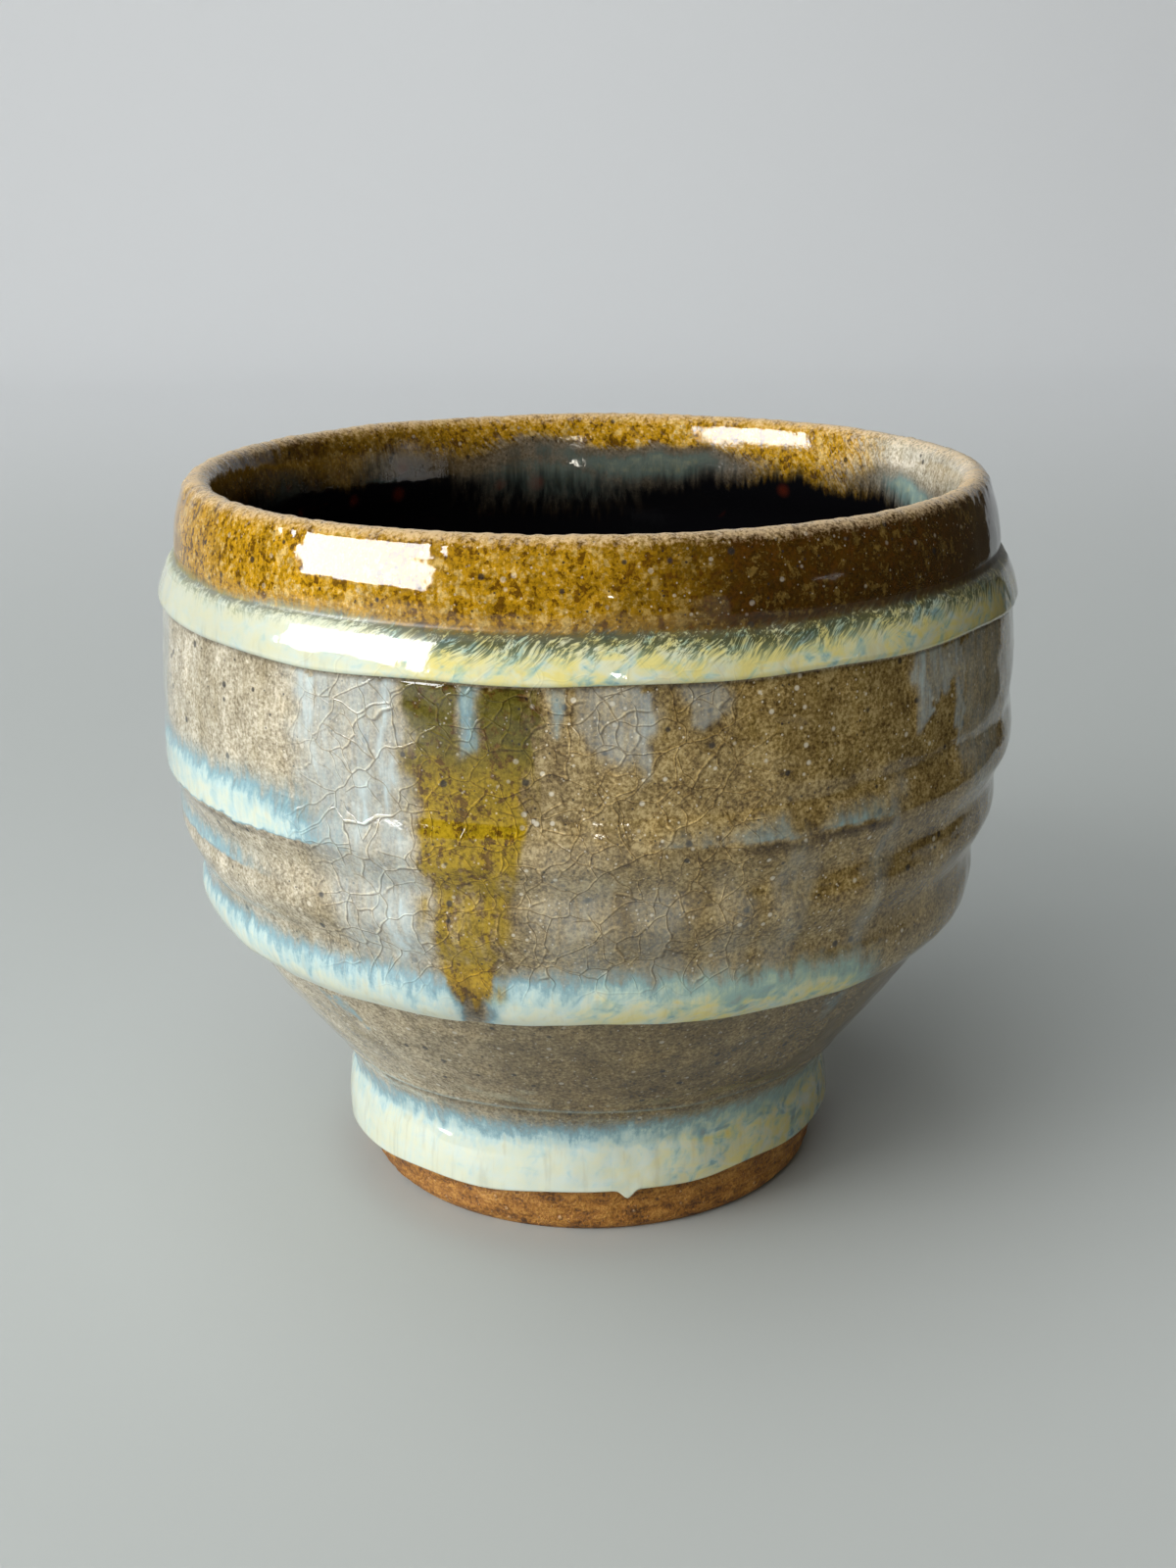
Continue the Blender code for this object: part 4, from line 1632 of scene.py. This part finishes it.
@dataclass(frozen=True)
class BareClay:
    """The unglazed clay of the foot, toasted orange and gritty, and of the recess."""

    name: str
    dark: Colour
    middle: Colour
    pale: Colour
    speck: Colour = rgb(64, 36, 18)
    grit: Colour = rgb(206, 164, 112)
    roughness: float = 0.5
    relief: float = 0.0003

    def material(self, effects: Effects) -> bpy.types.Material:
        """Makes the material.

        Args:
            effects: The shared node groups.

        Returns:
            The material.
        """
        material, graph = new_material(self.name)
        place = graph.place()
        grain = effects.grain.use(graph, Place=place, Specks=0.38, Grit=0.5)
        banded = grain["Mottle"] * 0.6 + place.times((1.0, 1.0, 3.0)).noise(0.35) * 0.4
        colour = graph.ramp(banded, ((0.39, self.dark), (0.50, self.middle), (0.61, self.pale)))
        colour = graph.blend(grain["Light"] * 0.6, colour, self.grit)
        colour = graph.blend(grain["Dark"] * 0.8, colour, self.speck)
        relief = graph.bump(grain["Mottle"] + grain["Light"] * 0.5, self.relief)
        graph.shade(colour, grain["Mottle"] * 0.25 + self.roughness, Normal=relief)
        return material


class Seen(Enum):
    """What a light is seen by: what it lights softly, or only its reflection in the glaze."""

    SOFT = "soft"
    MIRRORED = "mirrored"


@dataclass(frozen=True)
class Panel:
    """A light: its size, where it stands as seen from the cup, and how strong it is."""

    name: str
    angle: float
    lift: float
    distance: float
    width: float
    height: float
    power: float
    seen: Seen
    tint: tuple[float, float, float] = (1.0, 1.0, 1.0)


@dataclass
class Studio:
    """The pale sweep, the lights and the camera."""

    camera_side: float = -0.0437
    camera_back: float = 210.2254
    camera_up: float = 110.3003
    camera_pitch: float = 17.974
    camera_roll: float = -0.415
    lens: float = 45.0
    clip_start: float = 0.01
    aim: tuple[float, float, float] = (0.0, 0.0, 0.045)
    sweep_front: float = -1.2
    sweep_back: float = 0.75
    sweep_round: float = 0.5
    sweep_steps: int = 24
    sweep_top: float = 2.2
    sweep_half: float = 2.4
    sweep_fade: tuple[float, float] = (0.1, 0.9)
    flag_side: float = 0.17
    flag_front: float = -0.25
    flag_back: float = 0.15
    flag_height: float = 0.35
    flag_colour: Colour = rgb(62, 54, 38)
    floor_colour: Colour = rgb(181, 186, 185)
    back_colour: Colour = rgb(243, 246, 249)
    room_colour: Colour = (1.0, 0.92, 0.74, 1.0)
    room_strength: float = 0.065
    panels: tuple[Panel, ...] = (
        Panel("daylight", -62.0, 25.0, 0.9, 0.6, 0.6, 5.2, Seen.SOFT, (1.0, 0.99, 0.97)),
        Panel("front", -34.0, 30.0, 1.5, 1.2, 0.8, 12.0, Seen.SOFT, (1.0, 0.99, 0.96)),
        Panel("overhead", -60.0, 76.0, 1.5, 1.3, 1.3, 11.0, Seen.SOFT, (0.95, 0.98, 1.0)),
        Panel("window", -62.0, 20.0, 0.75, 0.54, 0.30, 9.6, Seen.MIRRORED),
        Panel("slit", 63.0, 8.0, 1.0, 0.12, 0.014, 0.18, Seen.MIRRORED),
        Panel("lamp", 4.0, 9.0, 0.8, 0.035, 0.03, 0.16, Seen.MIRRORED, (1.0, 0.95, 0.82)),
    )

    def build(self) -> None:
        """Builds the sweep, the lights, the room's light and the camera."""
        self.build_sweep()
        self.stand_flag()
        for panel in self.panels:
            self.hang(panel)
        self.light_room()
        self.set_camera()

    def build_sweep(self) -> None:
        """Builds the floor, which curves up into the backdrop."""
        line = [(self.sweep_front, 0.0)]
        for step in range(self.sweep_steps + 1):
            turn = math.radians(90.0 * step / self.sweep_steps)
            depth = self.sweep_back + self.sweep_round * math.sin(turn)
            line.append((depth, self.sweep_round * (1.0 - math.cos(turn))))
        line.append((self.sweep_back + self.sweep_round, self.sweep_top))
        points = [(side, depth, rise) for depth, rise in line for side in (-self.sweep_half, self.sweep_half)]
        faces = [[2 * row, 2 * row + 1, 2 * row + 3, 2 * row + 2] for row in range(len(line) - 1)]
        sweep = linked_mesh("sweep", points, faces)
        material, graph = new_material("pale_sweep")
        depth = graph.read("Object", "ShaderNodeTexCoord").part("Y")
        # the floor fades to a paler backdrop: painted light brightening the sweep towards the back
        graph.shade(graph.blend(depth.step(*self.sweep_fade), self.floor_colour, self.back_colour), 0.6)
        sweep.data.materials.append(material)

    def stand_flag(self) -> None:
        """Stands a dark flag on the right, unseen by the camera, which keeps the floor's light off there."""
        corners = (
            (self.flag_front, 0.0),
            (self.flag_back, 0.0),
            (self.flag_back, self.flag_height),
            (self.flag_front, self.flag_height),
        )
        flag = linked_mesh("dark_flag", [(self.flag_side, *corner) for corner in corners], [[0, 1, 2, 3]])
        material, graph = new_material("dark_flag")
        graph.shade(self.flag_colour, 1.0)
        flag.data.materials.append(material)
        flag.visible_camera = flag.visible_shadow = False

    def hang(self, panel: Panel) -> None:
        """Hangs one light, turned towards the cup.

        Args:
            panel: The light.
        """
        lamp = bpy.data.lights.new(panel.name, "AREA")
        lamp.shape = "RECTANGLE"
        lamp.size, lamp.size_y = panel.width, panel.height
        lamp.energy = panel.power
        lamp.color = panel.tint
        light = bpy.data.objects.new(panel.name, lamp)
        turn, lift = math.radians(panel.angle), math.radians(panel.lift)
        flat = panel.distance * math.cos(lift)
        offset = Vector((flat * math.sin(turn), -flat * math.cos(turn), panel.distance * math.sin(lift)))
        light.location = Vector(self.aim) + offset
        light.rotation_euler = (-offset).to_track_quat("-Z", "Y").to_euler()
        light.visible_diffuse = panel.seen is Seen.SOFT
        light.visible_glossy = panel.seen is Seen.MIRRORED
        bpy.context.scene.collection.objects.link(light)

    def light_room(self) -> None:
        """Fills the room with an even, faint light and keeps the colours as they are set."""
        scene = bpy.context.scene
        scene.world = bpy.data.worlds.new("room")
        scene.world.use_nodes = True
        graph = Graph(scene.world.node_tree)
        values = {"Color": self.room_colour, "Strength": self.room_strength}
        graph.add("ShaderNodeOutputWorld", {"Surface": graph.read(0, "ShaderNodeBackground", values)})
        scene.view_settings.view_transform = "Standard"
        scene.view_settings.look = "None"

    def set_camera(self) -> None:
        """Sets the camera where the photograph was taken from."""
        lens = bpy.data.cameras.new("camera")
        lens.lens = self.lens
        lens.clip_start = self.clip_start
        camera = bpy.data.objects.new("camera", lens)
        place = Vector((self.camera_side, -self.camera_back, self.camera_up)) * MM
        tip = Matrix.Rotation(math.radians(90.0 - self.camera_pitch), 4, "X")
        roll = Matrix.Rotation(math.radians(self.camera_roll), 4, "Z")
        camera.matrix_world = Matrix.Translation(place) @ tip @ roll
        bpy.context.scene.collection.objects.link(camera)
        bpy.context.scene.camera = camera


def settle(piece: bpy.types.Object, node: str, material: bpy.types.Material) -> None:
    """Puts a piece in its place in the frame, with its finish.

    Args:
        piece: The piece.
        node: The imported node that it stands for.
        material: Its finish.
    """
    piece.data.materials.append(material)
    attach(piece, "root")
    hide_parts(node)
    LOG.info("%s stands for %s: %d faces", piece.name, node, len(piece.data.polygons))


def main() -> None:
    """Builds the cup's clay and glaze, dresses them and sets up the studio."""
    logging.basicConfig(level=logging.INFO, format="%(message)s")
    effects = Effects(grain_effect(), streak_effect(), craze_effect())
    toasted = BareClay("toasted_clay", rgb(88, 52, 12), rgb(158, 103, 31), rgb(196, 142, 64))
    raw = BareClay("raw_stoneware", rgb(110, 88, 64), rgb(152, 128, 98), rgb(186, 164, 132))
    clay = Clay()
    settle(clay.build_bowl(), "bowl", raw.material(effects))
    settle(clay.build_foot(), "foot_ring", toasted.material(effects))
    glaze = RunningGlaze(effects).material()
    for node, piece in Glazing(GlazeField(clay)).build().items():
        settle(piece, node, glaze)
    Studio().build()


if __name__ == "__main__":
    main()
